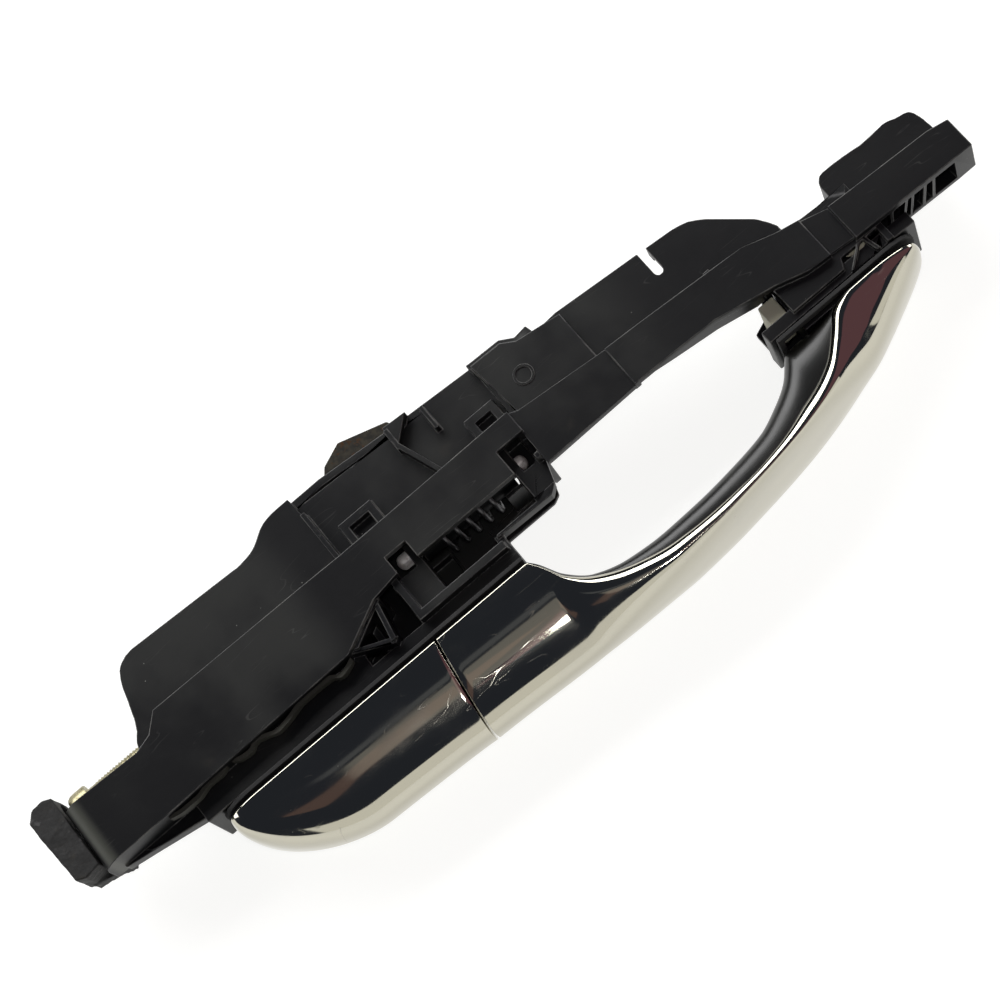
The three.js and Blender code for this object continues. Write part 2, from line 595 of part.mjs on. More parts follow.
// The box that the release lever hangs in, open above between front wall and flange. Its floor is
// left open where the finger and the output arm swing.
const FLOOR_Z = [-6, -4.4];
function leverBox() {
  const ribbon = prism(band(REAR_RIBBON.slice(3)), [RIBBON_Z - RIBBON_T, RIBBON_Z]);
  const rearWall = prism(
    band([[-70, 30.6, 32.6], [0, 29.9, 31.9], [53.5, 30.2, 32.2]]), [-9, RIBBON_Z - 1],
  );
  const streetWall = prism(
    band([[-71, 7.4, 9.4], [-20, 8.6, 10.6], [-4.5, 15.8, 17.8]]), [-8, RIBBON_Z - 1],
  );
  const boxWalls = [
    block([1, 30.5], [3.6, 6.1], [-12.5, 13]),
    block([0.5, 2.5], [3.6, 31], [-12.5, 13]),
    block([29, 31.5], [FLANGE_Y[0], 16], [-11.3, 9.6]),
    prism([
      [30, 8], [48.4, 7.6], [50.8, 9.4], [53.5, 18], [51.5, 18], [49.4, 10.8], [47.6, 9.8], [30, 10.2],
    ], [6.5, 10.6]),
    prism([[30, 13.6], [53.5, 16.6], [53.5, 19], [51.5, 19], [51.5, 18.4], [30, 15.6]], [-9, 9]),
    block([51.5, 53.5], [16.6, 31], [-11, 13]),
    block([1, 11], [5, 17.5], [6.5, 9]),
    prism([[44.2, 8.6], [48.6, 8.6], [50.6, 9.6], [53, 18], [53, 20], [44.2, 20]], [6.5, 10.2]),
  ];
  const floor = [
    prism([[17.6, 10.4], [47.6, 10.4], [50, 11.6], [52, 17.8], [17.6, 17.8]], FLOOR_Z),
    block([17.6, 39.2], [17, 30.8], FLOOR_Z),
    block([44.6, 52.5], [17, 30.8], FLOOR_Z),
    block([-6, 1.5], [3, 31], FLOOR_Z),
    block([1, 8.4], [16, 31], FLOOR_Z),
    prism([[-34, 3], [-5, 3], [-5, 17], [-20, 10], [-34, 10]], FLOOR_Z),
  ];
  const cheeks = [
    block([8.6, 11], [6, 31], [-3.5, 9]),
    block([44.2, 46.6], [15, 31], [-3.5, 9]),
  ];
  const struts = [
    prism([[-6.5, 16.5], [-4.9, 16.5], [-7.4, 4], [-9, 4]], [6, RIBBON_Z - 1]),
    prism([[-18.6, 9], [-16.8, 8.6], [-4.6, 15.2], [-5.6, 16.8]], [6, RIBBON_Z - 1]),
    prism([[-20, 9], [-18, 9.4], [-6.6, 4.4], [-8.2, 3.2]], [6, RIBBON_Z - 2]),
  ];
  return cut(join([ribbon, rearWall, streetWall, ...boxWalls, ...floor, ...cheeks, ...struts]), [
    block([3.7, 10.6], [10, 22.8], [9.01, 20]),
    block([44.4, 53.6], [10, 25.2], [9.01, 20]),
    block(PULL_WINDOW.x, [2, 40], PULL_WINDOW.z),
    block([34.5, 46.5], [26, 40], [-16, 8]),
    block([SHANK.x[0] - 2, SHANK.x[1] + 2], [0, 12], [-9, 7.5]),
  ]);
}

// Middle beam behind the hand gap: the flange on two walls, the street-side one set back under it.
function midBeam() {
  const flanges = [
    prism(band(MID_RIBBON), [MID_Z - RIBBON_T, MID_Z]),
    prism(band(FRONT_RIBBON), [FRONT_Z - RIBBON_T, FRONT_Z]),
  ];
  const streetWall = prism(band([
    [51.5, 17, 19], [84, 18.4, 20.4], [98, 16.4, 18.4], [111, 15, 17], [130, 11.2, 13.4],
  ]), [4, MID_Z - 1]);
  const doorWall = prism(band([
    [51.5, 29.6, 31.6], [84.5, 26, 28], [111, 24.2, 26.2], [130, 22.6, 24.6],
  ]), [2, MID_Z - 1]);
  const ribs = [62, 73, 84, 95, 106, 117].map((x) => (
    block([x, x + WALL], [16.8, 27], [4.5, MID_Z - 1])));
  return join([...flanges, streetWall, doorWall, ...ribs]);
}

// Housing of the front hinge: two plates hold the pin above and below the grip's hinge arm. The top
// plate leaves the wear pad open to view, and two struts lean out from it to the front seat.
function hingeHousing() {
  const bottomPlate = prism(
    [[119, 2], [161, 2], [161, 20], [128, 22], [124, 14], [119, 12]], [-13, -10.6],
  );
  const topPlate = prism(
    [[128, 2], [145.5, 2], [147, 5], [161, 5], [161, 20], [128, 22]], [10.6, 12.6],
  );
  const ribbon = join([
    prism(band(HINGE_RIBBON), [RIBBON_Z - RIBBON_T, RIBBON_Z - 0.2]),
    prism(band(STEP_RIBBON), [12, 13.4]),
    prism(band(PIN_RIBBON), [RIBBON_Z - RIBBON_T, RIBBON_Z]),
  ]);
  const struts = [[153, 146.4], [154.2, 155.4]].map(([xTop, xFoot]) => prism(
    [[xTop, 5.8], [xTop + 1.2, 5.8], [xFoot + 1.2, 0.2], [xFoot, 0.2]], [10.6, 12.6],
  ));
  const walls = [
    block([128, 161], [18.5, 20.5], [-13, 12.6]),
    block([159, 161], [0, 20], [-13, 12.6]),
    block([126, 128.5], [14, 24.2], [2, 12.6]),
  ];
  return cut(join([topPlate, bottomPlate, ribbon, ...struts, ...walls]), [
    bar('z', HINGE.r + GAP, [-20, 12], [HINGE.x, HINGE.y]),
  ]);
}

// Front tail: a box open towards the street, braced by slanted struts, and a tower behind it.
const TAIL_STRUTS = [                              // x of each strut at its top and at its foot
  [164.3, 163.4], [169.6, 167.2], [171.6, 169.8], [175.8, 174], [178.6, 177.4], [186.4, 186.2],
];
function frontTail() {
  const shell = prism(band(TAIL_RIBBON), TAIL_Z).subtract(prism(
    [[161, 0], [161, 15.2], [186.5, 14], [190.3, 12.8], [190.3, 7.5], [186, 7.5], [186, 0]],
    [2, RIBBON_Z - RIBBON_T],
  ));
  const low = 1;
  const high = RIBBON_Z - RIBBON_T + 1;
  const thick = 1.1;
  const depth = 2.8;
  const struts = TAIL_STRUTS.map(([xTop, xFoot]) => {
    const side = new THREE.Shape([
      new THREE.Vector2(xFoot, low), new THREE.Vector2(xFoot + thick, low),
      new THREE.Vector2(xTop + thick, high), new THREE.Vector2(xTop, high),
    ]);
    const geometry = new THREE.ExtrudeGeometry(side, { depth, bevelEnabled: false });
    geometry.rotateX(Math.PI / 2);
    geometry.translate(0, 4 + depth, 0);
    return solid(geometry).intersect(prism(band(TAIL_RIBBON), TAIL_Z));
  });
  const tower = prism(rounded([
    [156.3, 15], [156.3, 26.1, 1.3], [158.1, 28.2, 1.3], [163.5, 28.3, 2.6], [173.4, 27.2, 3.6],
    [180.7, 27.8, 1.8], [184.1, 26.4, 1.7], [187.7, 25.9, 1.8], [189.1, 21.2, 2.4], [189.3, 14],
  ]), [-6, DECK_Z]);
  const hollow = prism([
    [158.3, 18.6], [158.3, 25.4], [163, 26.3], [166, 26], [166, 18.6],
  ], [-7, DECK_Z - DECK_T]);
  const frontHollow = prism([[179, 18.6], [179, 25.7], [186.4, 24], [187.2, 18.6]], [-7, DECK_Z - DECK_T]);
  return cut(join([shell, ...struts, tower]), [
    hollow, frontHollow,
    block([NUT.x - 5.3, NUT.x + 5.3], [NUT.y - GAP, NUT.y + NUT.t + GAP], [-8, NUT.z + 5.3]),
    bar('y', 3.4, [16, 30], [NUT.x, NUT.z]),
  ]);
}

const NUT = { x: 172.5, y: 20.5, z: 0, t: 4 };
function captiveNut() {
  return block([NUT.x - 5, NUT.x + 5], [NUT.y, NUT.y + NUT.t], [NUT.z - 5, NUT.z + 5])
    .subtract(bar('y', 2.5, [15, 30], [NUT.x, NUT.z]));
}

function lockBracket() {
  return cut(join([
    block([-9, 4], [41, 53.5], [-12.4, -9.8]),
    block([-9, -7.2], [41, 53.5], [-12.4, 4]),
    bar('z', 4.4, [2.2, 4], [LOCK.x, LOCK.y]),
  ]), [bar('z', LOCK.pinR + GAP, [-20, 4.6], [LOCK.x, LOCK.y])]);
}

function carrierFrame() {
  return cut(join([
    deck(), deckDetails(), skinSeats(), rearTail(), leverBox(), midBeam(), hingeHousing(), frontTail(),
    lockBracket(),
  ]), [
    bar('z', LOCK.pinR + GAP, [-20, 4.6], [LOCK.x, LOCK.y]),
    bar('x', PIN.r + GAP, [3.5, 50.5], [PIN.y, PIN.z], 24),
    block([11.2, 44], [9, 30], [-4, RIBBON_Z - RIBBON_T]),
    block([3.2, 8.4], [18.2, 26], [1.5, 12]),
    block([46.8, 51.2], [18.2, 26], [1.5, 12]),
    bar('x', SCREW.radius + 0.5, [-100, -56], [SCREW_AXIS.y, SCREW_AXIS.z]),
    block([CLAMP_X[0] - 0.6, CLAMP_X[1] + 0.6], [10.6, 33.8], [-6, RIBBON_Z - RIBBON_T]),
    block([125.5, 159], [-1, 18], [-10.4, 10.4]),
    block([120.6, 126], [-1, 12.6], [-10.4, 10.4]),
  ]).add(block([38.6, 44.8], [15.2, 16.6], [-5, 8.4]));
}

// ---------------------------------------------------------------- gaskets, cap clamp, end seal

function gasket(stations, holes) {
  const middle = (GASKET_Y[0] + GASKET_Y[1]) / 2;
  const pad = loft(stations, 16, (x, turn) => {
    if (turn === null) return [middle, 0];
    const angle = (turn + 1 / 32) * 2 * Math.PI;
    const squared = (v) => Math.sign(v) * Math.abs(v) ** 0.25;
    return lifted(x, [
      middle + ((GASKET_Y[1] - GASKET_Y[0]) / 2) * squared(Math.sin(angle)),
      (halfHeight(x) - 1.2) * squared(Math.cos(angle)),
    ]);
  });
  return cut(pad, holes);
}

function rearGasket() {
  return gasket([...tipSteps(CAP_TIP_X + 0.6, -58, 6), 31.2], [
    block([SHANK.x[0] - 1, SHANK.x[1] + 1], [-4, 2], [-7, 7]),
    block([PULL_ARM_X[0] - 1.5, PULL_ARM_X[1] + 3], [-4, 2], [-14, PULL_ARM_Z[1] + 1]),
    bar('y', 3, [-4, 2], [SCREW_X.rear, 0]),
  ]);
}

function frontGasket() {
  return gasket([119.5, 148, ...tipSteps(GRIP_TIP_X + 0.4, 152, 6).reverse()], [
    block([121.4, 157], [-4, 2], [-9.8, 9.8]),
  ]);
}

function capClamp() {
  return cut(join([
    block(CLAMP_X, [11.4, 33.2], [-4, 11.6]),
    block([CLAMP_X[1] - 1, SHANK.x[0] + 2.4], [11.4, 13.4], [-4, 4]),
  ]), [bar('x', 2.8, [-70, -40], [SCREW_AXIS.y, SCREW_AXIS.z])]);
}

function endSealBlock() {
  const outline = [
    [-114.4, 11], [-111.6, 9.6], [-106.4, 10.4], [-106.4, 33.6], [-109, 34.8], [-112.6, 34.4],
    [-115.4, 31.6],
  ];
  const heel = prism([
    [-112.8, 9.6], [-105, 8.2], [-101.2, 7], [-98.8, 9.2], [-103, 18], [-112.8, 18],
  ], [-3, 1.7]);
  return prism(outline, [-1.4, 11.4]).add(heel)
    .subtract(bar('x', SCREW.head - 0.2, [-120, -100], [SCREW_AXIS.y, SCREW_AXIS.z], 16));
}

// ---------------------------------------------------------------- assembly

function mesh(name, shape, material) {
  const geometry = shape.isBufferGeometry ? shape : toGeometry(shape);
  const made = new THREE.Mesh(geometry, material());
  made.name = name;
  return made;
}

// A piece drawn along +Y in its own frame, laid along another direction and set in place.
function laid(piece, [x, y, z], direction) {
  piece.position.set(x, y, z);
  piece.quaternion.setFromUnitVectors(new THREE.Vector3(0, 1, 0), direction);
  return piece;
}

const ALONG_X = new THREE.Vector3(1, 0, 0);
const STREETWARDS = new THREE.Vector3(0, -1, 0);

const carrier = new THREE.Group();
carrier.add(
  mesh('carrier_frame', carrierFrame(), blackNylon),
  mesh('rear_gasket', rearGasket(), blackRubber),
  mesh('front_gasket', frontGasket(), blackRubber),
  mesh('end_seal_block', endSealBlock(), foam),
  mesh('front_captive_nut', captiveNut(), greyZinc),
  mesh('hinge_pin', bar('z', HINGE.r, [-13, 11.6], [HINGE.x, HINGE.y]), brightSteel),
  mesh('lever_pin', bar('x', PIN.r, [4.6, 49.4], [PIN.y, PIN.z]), brightSteel),
  mesh('inertia_pin', bar('z', LOCK.pinR, [-12.6, 4.3], [LOCK.x, LOCK.y]), brightSteel),
  mesh('lever_bumper', block([39, 44], [34, 39], [1.5, RECESS_Z - DECK_T - GAP]), blackRubber),
);

const cap = new THREE.Group();
cap.add(
  mesh('cap_shell', capShell(), chrome),
  mesh('cap_base', capBase(), satinBlack),
  mesh('cap_clamp', capClamp(), greyZinc),
  laid(
    mesh('cap_screw', screw(SCREW.head, 6, SCREW.radius, SCREW.length), yellowZinc),
    [-104.6, SCREW_AXIS.y, SCREW_AXIS.z], ALONG_X,
  ),
);

const grip = new THREE.Group();
grip.add(
  mesh('grip_outer_shell', gripOuterShell(), chrome),
  mesh('grip_inner_shell', gripInnerShell(), satinBlack),
  mesh('grip_pull_arm', gripPullArm(), blackNylon),
  mesh('grip_hinge_arm', gripHingeArm(), blackNylon),
  mesh('hinge_wear_pad', block([122, HINGE_ARM_X[0] - GAP], [3.6, 11], [-8, 8]), naturalNylon),
);
for (const [end, x] of Object.entries(SCREW_X)) {
  const shellScrew = mesh(`grip_screw_${end}`, screw(3.1, 2, 1.6, 9), greyZinc);
  grip.add(laid(shellScrew, [x, BASE_Y - GAP, 0], STREETWARDS));
}
const bushLift = 10.2 - BUSH.length;
for (const [end, side] of [['upper', 1], ['lower', -1]]) {
  const bush = mesh(`hinge_bush_${end}`, hingeBush(), naturalNylon);
  bush.position.set(HINGE.x, HINGE.y, side * bushLift);
  bush.rotation.x = side > 0 ? 0 : Math.PI;
  grip.add(bush);
}

const lever = new THREE.Group();
lever.position.set(0, PIN.y, PIN.z);
const clip = mesh('rod_clip', rodClip(), naturalNylon);
clip.position.set(0, OUTPUT.radius * Math.cos(OUTPUT.rest), OUTPUT.radius * Math.sin(OUTPUT.rest));
lever.add(
  mesh('bell_crank_lever', bellCrankLever(), satinBlack),
  mesh('lever_spring', coil(6.4, 0.7, [17.5, 37.5], 5, 5), springSteel),
  clip,
);

const lock = new THREE.Group();
lock.position.set(LOCK.x, LOCK.y, 0);
const lockSpring = mesh('inertia_spring', coil(3.2, 0.4, [-9, -3.9], 4, 2.2), springSteel);
lockSpring.rotation.y = -Math.PI / 2;
lock.add(mesh('inertia_lock', inertiaLock(), greyZinc), lockSpring);

const group = new THREE.Group();
group.name = 'door_handle';
group.add(carrier, cap, grip, lever, lock);

export default group;
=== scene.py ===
"""Pull-type door handle with its carrier and release lever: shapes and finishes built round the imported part.

Lengths in the classes are millimetres; meshes are made in metres, in the part's own frame.
+X runs towards the hinged end, +Y into the door, -Y out to the street and +Z up.
"""

import logging
import math
from dataclasses import dataclass, field
from enum import Enum
from typing import Any, Optional, Sequence, Union

import bmesh
import bpy
import numpy as np
from mathutils import Matrix, Vector, noise


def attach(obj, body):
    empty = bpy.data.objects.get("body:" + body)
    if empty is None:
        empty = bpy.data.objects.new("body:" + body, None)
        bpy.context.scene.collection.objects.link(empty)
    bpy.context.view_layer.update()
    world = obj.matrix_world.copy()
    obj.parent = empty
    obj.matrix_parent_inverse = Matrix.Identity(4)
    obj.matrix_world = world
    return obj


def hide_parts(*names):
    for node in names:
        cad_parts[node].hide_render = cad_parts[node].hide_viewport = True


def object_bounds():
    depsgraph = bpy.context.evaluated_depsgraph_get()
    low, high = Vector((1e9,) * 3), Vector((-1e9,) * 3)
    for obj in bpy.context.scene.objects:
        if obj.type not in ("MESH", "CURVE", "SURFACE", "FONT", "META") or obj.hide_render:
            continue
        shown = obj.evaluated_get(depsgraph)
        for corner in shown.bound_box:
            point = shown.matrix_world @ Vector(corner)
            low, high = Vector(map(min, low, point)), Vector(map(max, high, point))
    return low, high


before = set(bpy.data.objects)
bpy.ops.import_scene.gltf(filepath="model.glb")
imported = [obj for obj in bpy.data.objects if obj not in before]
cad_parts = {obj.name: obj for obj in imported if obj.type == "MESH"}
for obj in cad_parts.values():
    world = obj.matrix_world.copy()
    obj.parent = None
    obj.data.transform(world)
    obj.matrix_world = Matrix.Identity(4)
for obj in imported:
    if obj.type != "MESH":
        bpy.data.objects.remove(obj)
CAD_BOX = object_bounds()

log = logging.getLogger("door_handle")
MM = 0.001
Point = tuple[float, float, float]
Colour = tuple[float, float, float]


class Body(Enum):
    """Bodies of the part that a piece can ride on."""

    CARRIER = "carrier"
    GRIP = "grip"
    LEVER = "lever"
    LOCK = "lock"


class Slot(Enum):
    """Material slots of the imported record."""

    BLACK_NYLON = "black_nylon"
    SATIN_BLACK = "satin_black"
    BLACK_RUBBER = "black_rubber"
    END_FOAM = "end_foam"
    CHROME = "chrome_plate"
    BRIGHT_STEEL = "bright_steel"
    SPRING_STEEL = "spring_steel"
    YELLOW_ZINC = "yellow_zinc"
    GREY_ZINC = "grey_zinc"
    NATURAL_NYLON = "natural_nylon"


class Axis(Enum):
    """Direction that a turned piece points along."""

    X = (1.0, 0.0, 0.0)
    Y = (0.0, 1.0, 0.0)
    MINUS_Y = (0.0, -1.0, 0.0)
    Z = (0.0, 0.0, 1.0)


class Cut(Enum):
    """How a tool shape is combined with a piece."""

    AWAY = "DIFFERENCE"
    ONTO = "UNION"


# ------------------------------------------------------------------ node trees


class Signal:
    """A number, colour or vector that flows from one node to another."""

    def __init__(self, tree: "Tree", socket: bpy.types.NodeSocket) -> None:
        """Wraps one output socket.

        Args:
            tree: the tree that the socket belongs to.
            socket: the output socket.
        """
        self.tree = tree
        self.socket = socket

    def __add__(self, other: "Value") -> "Signal":
        """Sum with a signal or number."""
        return self.tree.maths("ADD", self, other)

    def __radd__(self, other: "Value") -> "Signal":
        """Sum with a number on the left."""
        return self.tree.maths("ADD", other, self)

    def __sub__(self, other: "Value") -> "Signal":
        """Difference from a signal or number."""
        return self.tree.maths("SUBTRACT", self, other)

    def __rsub__(self, other: "Value") -> "Signal":
        """A number less this signal."""
        return self.tree.maths("SUBTRACT", other, self)

    def __mul__(self, other: "Value") -> "Signal":
        """Product with a signal or number."""
        return self.tree.maths("MULTIPLY", self, other)

    def __rmul__(self, other: "Value") -> "Signal":
        """Product with a number on the left."""
        return self.tree.maths("MULTIPLY", other, self)

    def __gt__(self, other: "Value") -> "Signal":
        """1 where this signal is greater, 0 elsewhere."""
        return self.tree.maths("GREATER_THAN", self, other)

    def __lt__(self, other: "Value") -> "Signal":
        """1 where this signal is less, 0 elsewhere."""
        return self.tree.maths("LESS_THAN", self, other)

    def __abs__(self) -> "Signal":
        """Size of this signal without its sign."""
        return self.tree.maths("ABSOLUTE", self, 0.0)


Value = Union[Signal, float]


class Tree:
    """A node tree, for a material or for geometry, written from Python."""

    def __init__(self, tree: bpy.types.NodeTree) -> None:
        """Empties the tree and keeps it.

        Args:
            tree: the Blender node tree.
        """
        self.tree = tree
        self.tree.nodes.clear()

    def node(self, kind: str, settings: dict[str, Any], inputs: dict[Union[str, int], Any]) -> bpy.types.Node:
        """Adds one node.

        Args:
            kind: the node's Blender type.
            settings: its properties, and "stops" for a ramp, set before its inputs.
            inputs: socket name or index to a signal or a plain value.

        Returns:
            The new node.
        """
        made = self.tree.nodes.new(kind)
        for key, value in settings.items():
            if key == "stops":
                self._set_stops(made, value)
            else:
                setattr(made, key, value)
        for key, value in inputs.items():
            if isinstance(value, Signal):
                self.tree.links.new(value.socket, made.inputs[key])
            else:
                made.inputs[key].default_value = value
        return made

    def out(self, made: bpy.types.Node, output: Union[str, int] = 0) -> Signal:
        """One output of a node as a signal."""
        return Signal(self, made.outputs[output])

    @staticmethod
    def _set_stops(ramp: bpy.types.Node, stops: Sequence[tuple[float, float]]) -> None:
        """Gives a ramp its grey stops.

        Args:
            ramp: the colour ramp node.
            stops: pairs of position and grey value.
        """
        elements = ramp.color_ramp.elements
        while len(elements) < len(stops):
            elements.new(1.0)
        for element, (place, grey) in zip(elements, stops):
            element.position = place
            element.color = (grey, grey, grey, 1.0)

    def maths(self, operation: str, first: Value, second: Value) -> Signal:
        """One step of arithmetic on two values."""
        return self.out(self.node("ShaderNodeMath", {"operation": operation}, {0: first, 1: second}))


class FinishSheet(Tree):
    """The shader tree of one material, with the patterns that the finishes share."""

    def __init__(self, material: bpy.types.Material) -> None:
        """Starts an empty shader for a material.

        Args:
            material: the material to write.
        """
        material.use_nodes = True
        super().__init__(material.node_tree)
        self.place = self.out(self.node("ShaderNodeTexCoord", {}, {}), "Object")

    def moved(self, scale: Point, turn: Point = (0.0, 0.0, 0.0), shift: Point = (0.0, 0.0, 0.0)) -> Signal:
        """Object coordinates, shifted, turned and scaled.

        Args:
            scale: factor along each axis.
            turn: rotation in radians.
            shift: offset in metres.

        Returns:
            The coordinates as a vector signal.
        """
        return self.out(self.node(
            "ShaderNodeMapping", {"vector_type": "POINT"},
            {"Vector": self.place, "Location": shift, "Rotation": turn, "Scale": scale}))

    def clouds(self, size: float, detail: float = 3.0, where: Optional[Signal] = None,
               seed: float = 0.0) -> Signal:
        """Soft irregular patches.

        Args:
            size: typical size of a patch in millimetres.
            detail: octaves of finer patches on it.
            where: coordinates, or None for plain object coordinates.
            seed: picks another pattern of the same kind.

        Returns:
            A signal from 0 to 1.
        """
        made = self.node(
            "ShaderNodeTexNoise", {"noise_dimensions": "4D"},
            {"Vector": where or self.place, "W": seed, "Scale": 1.0 / (size * MM), "Detail": detail,
             "Roughness": 0.55})
        return self.out(made, 0)

    def step(self, value: Signal, low: float, high: float) -> Signal:
        """A smooth step.

        Args:
            value: what is tested.
            low: where the step starts, at 0.
            high: where it ends, at 1.

        Returns:
            A signal from 0 to 1.
        """
        made = self.node(
            "ShaderNodeMapRange", {"interpolation_type": "SMOOTHSTEP", "clamp": True},
            {"Value": value, "From Min": low, "From Max": high, "To Min": 0.0, "To Max": 1.0})
        return self.out(made, 0)

    def specks(self, spacing: float, radius: float, share: float) -> Signal:
        """Small round specks, scattered over a share of a loose grid.

        Args:
            spacing: distance between possible specks in millimetres.
            radius: size of a speck in millimetres.
            share: from 0 to 1, how many of them are there.

        Returns:
            1 on a speck and 0 elsewhere.
        """
        made = self.node(
            "ShaderNodeTexVoronoi", {"feature": "F1"}, {"Vector": self.place, "Scale": 1.0 / (spacing * MM)})
        parts = self.node("ShaderNodeSeparateColor", {}, {"Color": self.out(made, "Color")})
        chosen = self.out(parts, 0) < share
        return (self.out(made, "Distance") < radius / spacing) * chosen

    def hairlines(self, size: float, width: float, turn: float, stretch: float, seed: float) -> Signal:
        """Thin wandering scratches that mostly run one way.

        Args:
            size: distance between scratches in millimetres.
            width: how wide they are, as a share of the pattern's contrast.
            turn: direction in radians about Z.
            stretch: how much longer than wide the pattern is.
            seed: picks another set of scratches.

        Returns:
            1 on a scratch and 0 elsewhere, fading in and out along it.
        """
        along = self.moved((1.0 / stretch, 1.0, 1.0), (0.0, 0.0, turn))
        line = 1.0 - self.step(abs(self.clouds(size, 1.0, along, seed) - 0.5), width * 0.4, width)
        return line * self.step(self.clouds(size * 1.7, 2.0, None, seed + 4.0), 0.52, 0.66)

    def axis(self, index: int) -> Signal:
        """One coordinate of the surface point, in metres."""
        return self.out(self.node("ShaderNodeSeparateXYZ", {}, {"Vector": self.place}), index)

    def tint(self, share: Value, first: Colour, second: Union[Colour, Signal]) -> Signal:
        """Mixes two colours.

        Args:
            share: 0 for the first, 1 for the second.
            first: the first colour.
            second: the second colour, or a colour signal.

        Returns:
            The mixed colour.
        """
        other = second if isinstance(second, Signal) else (*second, 1.0)
        start = first if isinstance(first, Signal) else (*first, 1.0)
        made = self.node("ShaderNodeMix", {"data_type": "RGBA"}, {0: share, 6: start, 7: other})
        return self.out(made, 2)

    def relief(self, height: Signal, depth: float, under: Optional[Signal] = None) -> Signal:
        """Surface relief.

        Args:
            height: the height pattern, from 0 to 1.
            depth: height of the pattern in millimetres.
            under: a coarser relief that this one lies on.

        Returns:
            The bent normal.
        """
        inputs: dict[Union[str, int], Any] = {"Height": height, "Distance": depth * MM, "Strength": 1.0}
        if under is not None:
            inputs["Normal"] = under
        return self.out(self.node("ShaderNodeBump", {}, inputs))

    def surface(self, colour: Any, rough: Value, normal: Signal, plain: dict[str, float]) -> None:
        """Writes the shader and the output.

        Args:
            colour: base colour signal or colour.
            rough: roughness.
            normal: the bent normal.
            plain: values that are the same all over, by socket name.
        """
        base = colour if isinstance(colour, Signal) else (*colour, 1.0)
        shader = self.node(
            "ShaderNodeBsdfPrincipled", {},
            {"Base Color": base, "Roughness": rough, "Normal": normal, **plain})
        self.node("ShaderNodeOutputMaterial", {}, {"Surface": self.out(shader)})


# ------------------------------------------------------------------ finishes


@dataclass(frozen=True)
class Finish:
    """What all finishes share: a name, the record's slot and a cache of the material."""

    name: str
    slot: Slot

    def write(self, sheet: FinishSheet) -> None:
        """Writes the finish into a material's shader."""
        raise NotImplementedError

    def material(self) -> bpy.types.Material:
        """The finish's material, made on first use."""
        found = bpy.data.materials.get(self.name)
        if found is None:
            found = bpy.data.materials.new(self.name)
            self.write(FinishSheet(found))
        return found


@dataclass(frozen=True)
class MouldedNylon(Finish):
    """Black glass-filled nylon: satin, finely grained, dusty, greyed by handling, with a painted highlight
    band across the rear end where end_highlight is set.
    """

    colour: Colour = (0.0024, 0.0025, 0.0032)
    greyed: Colour = (0.0125, 0.0130, 0.0118)
    rough: float = 0.33
    dust: float = 0.10
    grain: float = 0.012
    grey_share: float = 0.8
    end_highlight: float = 0.0
    # stations in millimetres: greying sets in, fades past the deck, sets in again over the lever box, fades
    # along the beam; the painted highlight across the rounded rear end sets in and fades
    zones: tuple[tuple[float, float], ...] = (
        (-98, -72), (-28, -14), (-2, 12), (84, 104), (-105.6, -103.6), (-103, -99.5))
    beam_fade: float = 0.85

    def write(self, sheet: FinishSheet) -> None:
        """Writes grain, greyed patches, dust specks, hairline scratches and a painted highlight band across
        the rear end.
        """
        x = sheet.axis(0)
        rear, past_deck, lever_box, beam, highlight_from, highlight_past = (
            sheet.step(x, low * MM, high * MM) for low, high in self.zones)
        handled = rear * (1.0 - past_deck * (1.0 - lever_box)) * (1.0 - beam * self.beam_fade)
        # painted highlight: a pale band across the rounded rear end that stands in for light caught there
        end = highlight_from * (1.0 - highlight_past) * self.end_highlight
        patches = sheet.step(sheet.clouds(34.0, 4.0), 0.36, 0.66) * handled
        stain = sheet.step(sheet.clouds(9.0, 5.0, None, 3.0), 0.60, 0.78)
        dust = sheet.specks(2.6, 0.16, self.dust) * sheet.step(sheet.clouds(22.0, 2.0, None, 9.0), 0.42, 0.6)
        lines = sheet.hairlines(5.0, 0.0035, 0.5, 9.0, 2.0) + sheet.hairlines(6.0, 0.003, 2.1, 9.0, 7.0)
        marks = dust + lines * 0.12
        body = sheet.tint(patches * self.grey_share, self.colour, self.greyed)
        worn = sheet.tint(stain * 0.35, body, (0.020, 0.017, 0.013))
        # the last tint paints the rear end's highlight band in pale olive grey
        colour = sheet.tint(end * 0.8, sheet.tint(marks, worn, (0.14, 0.14, 0.13)), (0.070, 0.072, 0.060))
        grain = sheet.clouds(0.55, 3.0, None, 1.0)
        rough = self.rough + patches * 0.14 + grain * 0.10 + marks * 0.2
        normal = sheet.relief(grain, self.grain, sheet.relief(sheet.clouds(18.0, 2.0), 0.12))
        sheet.surface(colour, rough, normal, {"IOR": 1.5, "Specular IOR Level": 0.22})


@dataclass(frozen=True)
class RubbedAndHighlightedEdge(Finish):
    """Edge of a black moulding, paler in broken stretches: partly rubbed by hands and tools, partly a painted
    highlight along the eased edge.
    """

    colour: Colour = (0.008, 0.008, 0.009)
    # pale edge colour: part rubbed wear, part painted highlight along the edge
    rubbed: Colour = (0.082, 0.080, 0.073)

    def write(self, sheet: FinishSheet) -> None:
        """Writes broken pale stretches along the edge, part rubbed wear and part painted highlight."""
        broken = sheet.step(sheet.clouds(6.0, 5.0, None, 5.0), 0.40, 0.64)
        nicks = sheet.step(sheet.clouds(1.4, 2.0, None, 6.0), 0.60, 0.74)
        colour = sheet.tint(broken * 0.75 + nicks * 0.25, self.colour, self.rubbed)
        normal = sheet.relief(sheet.clouds(0.5, 3.0), 0.02)
        sheet.surface(colour, 0.36 + broken * 0.12, normal, {"IOR": 1.5, "Specular IOR Level": 0.4})


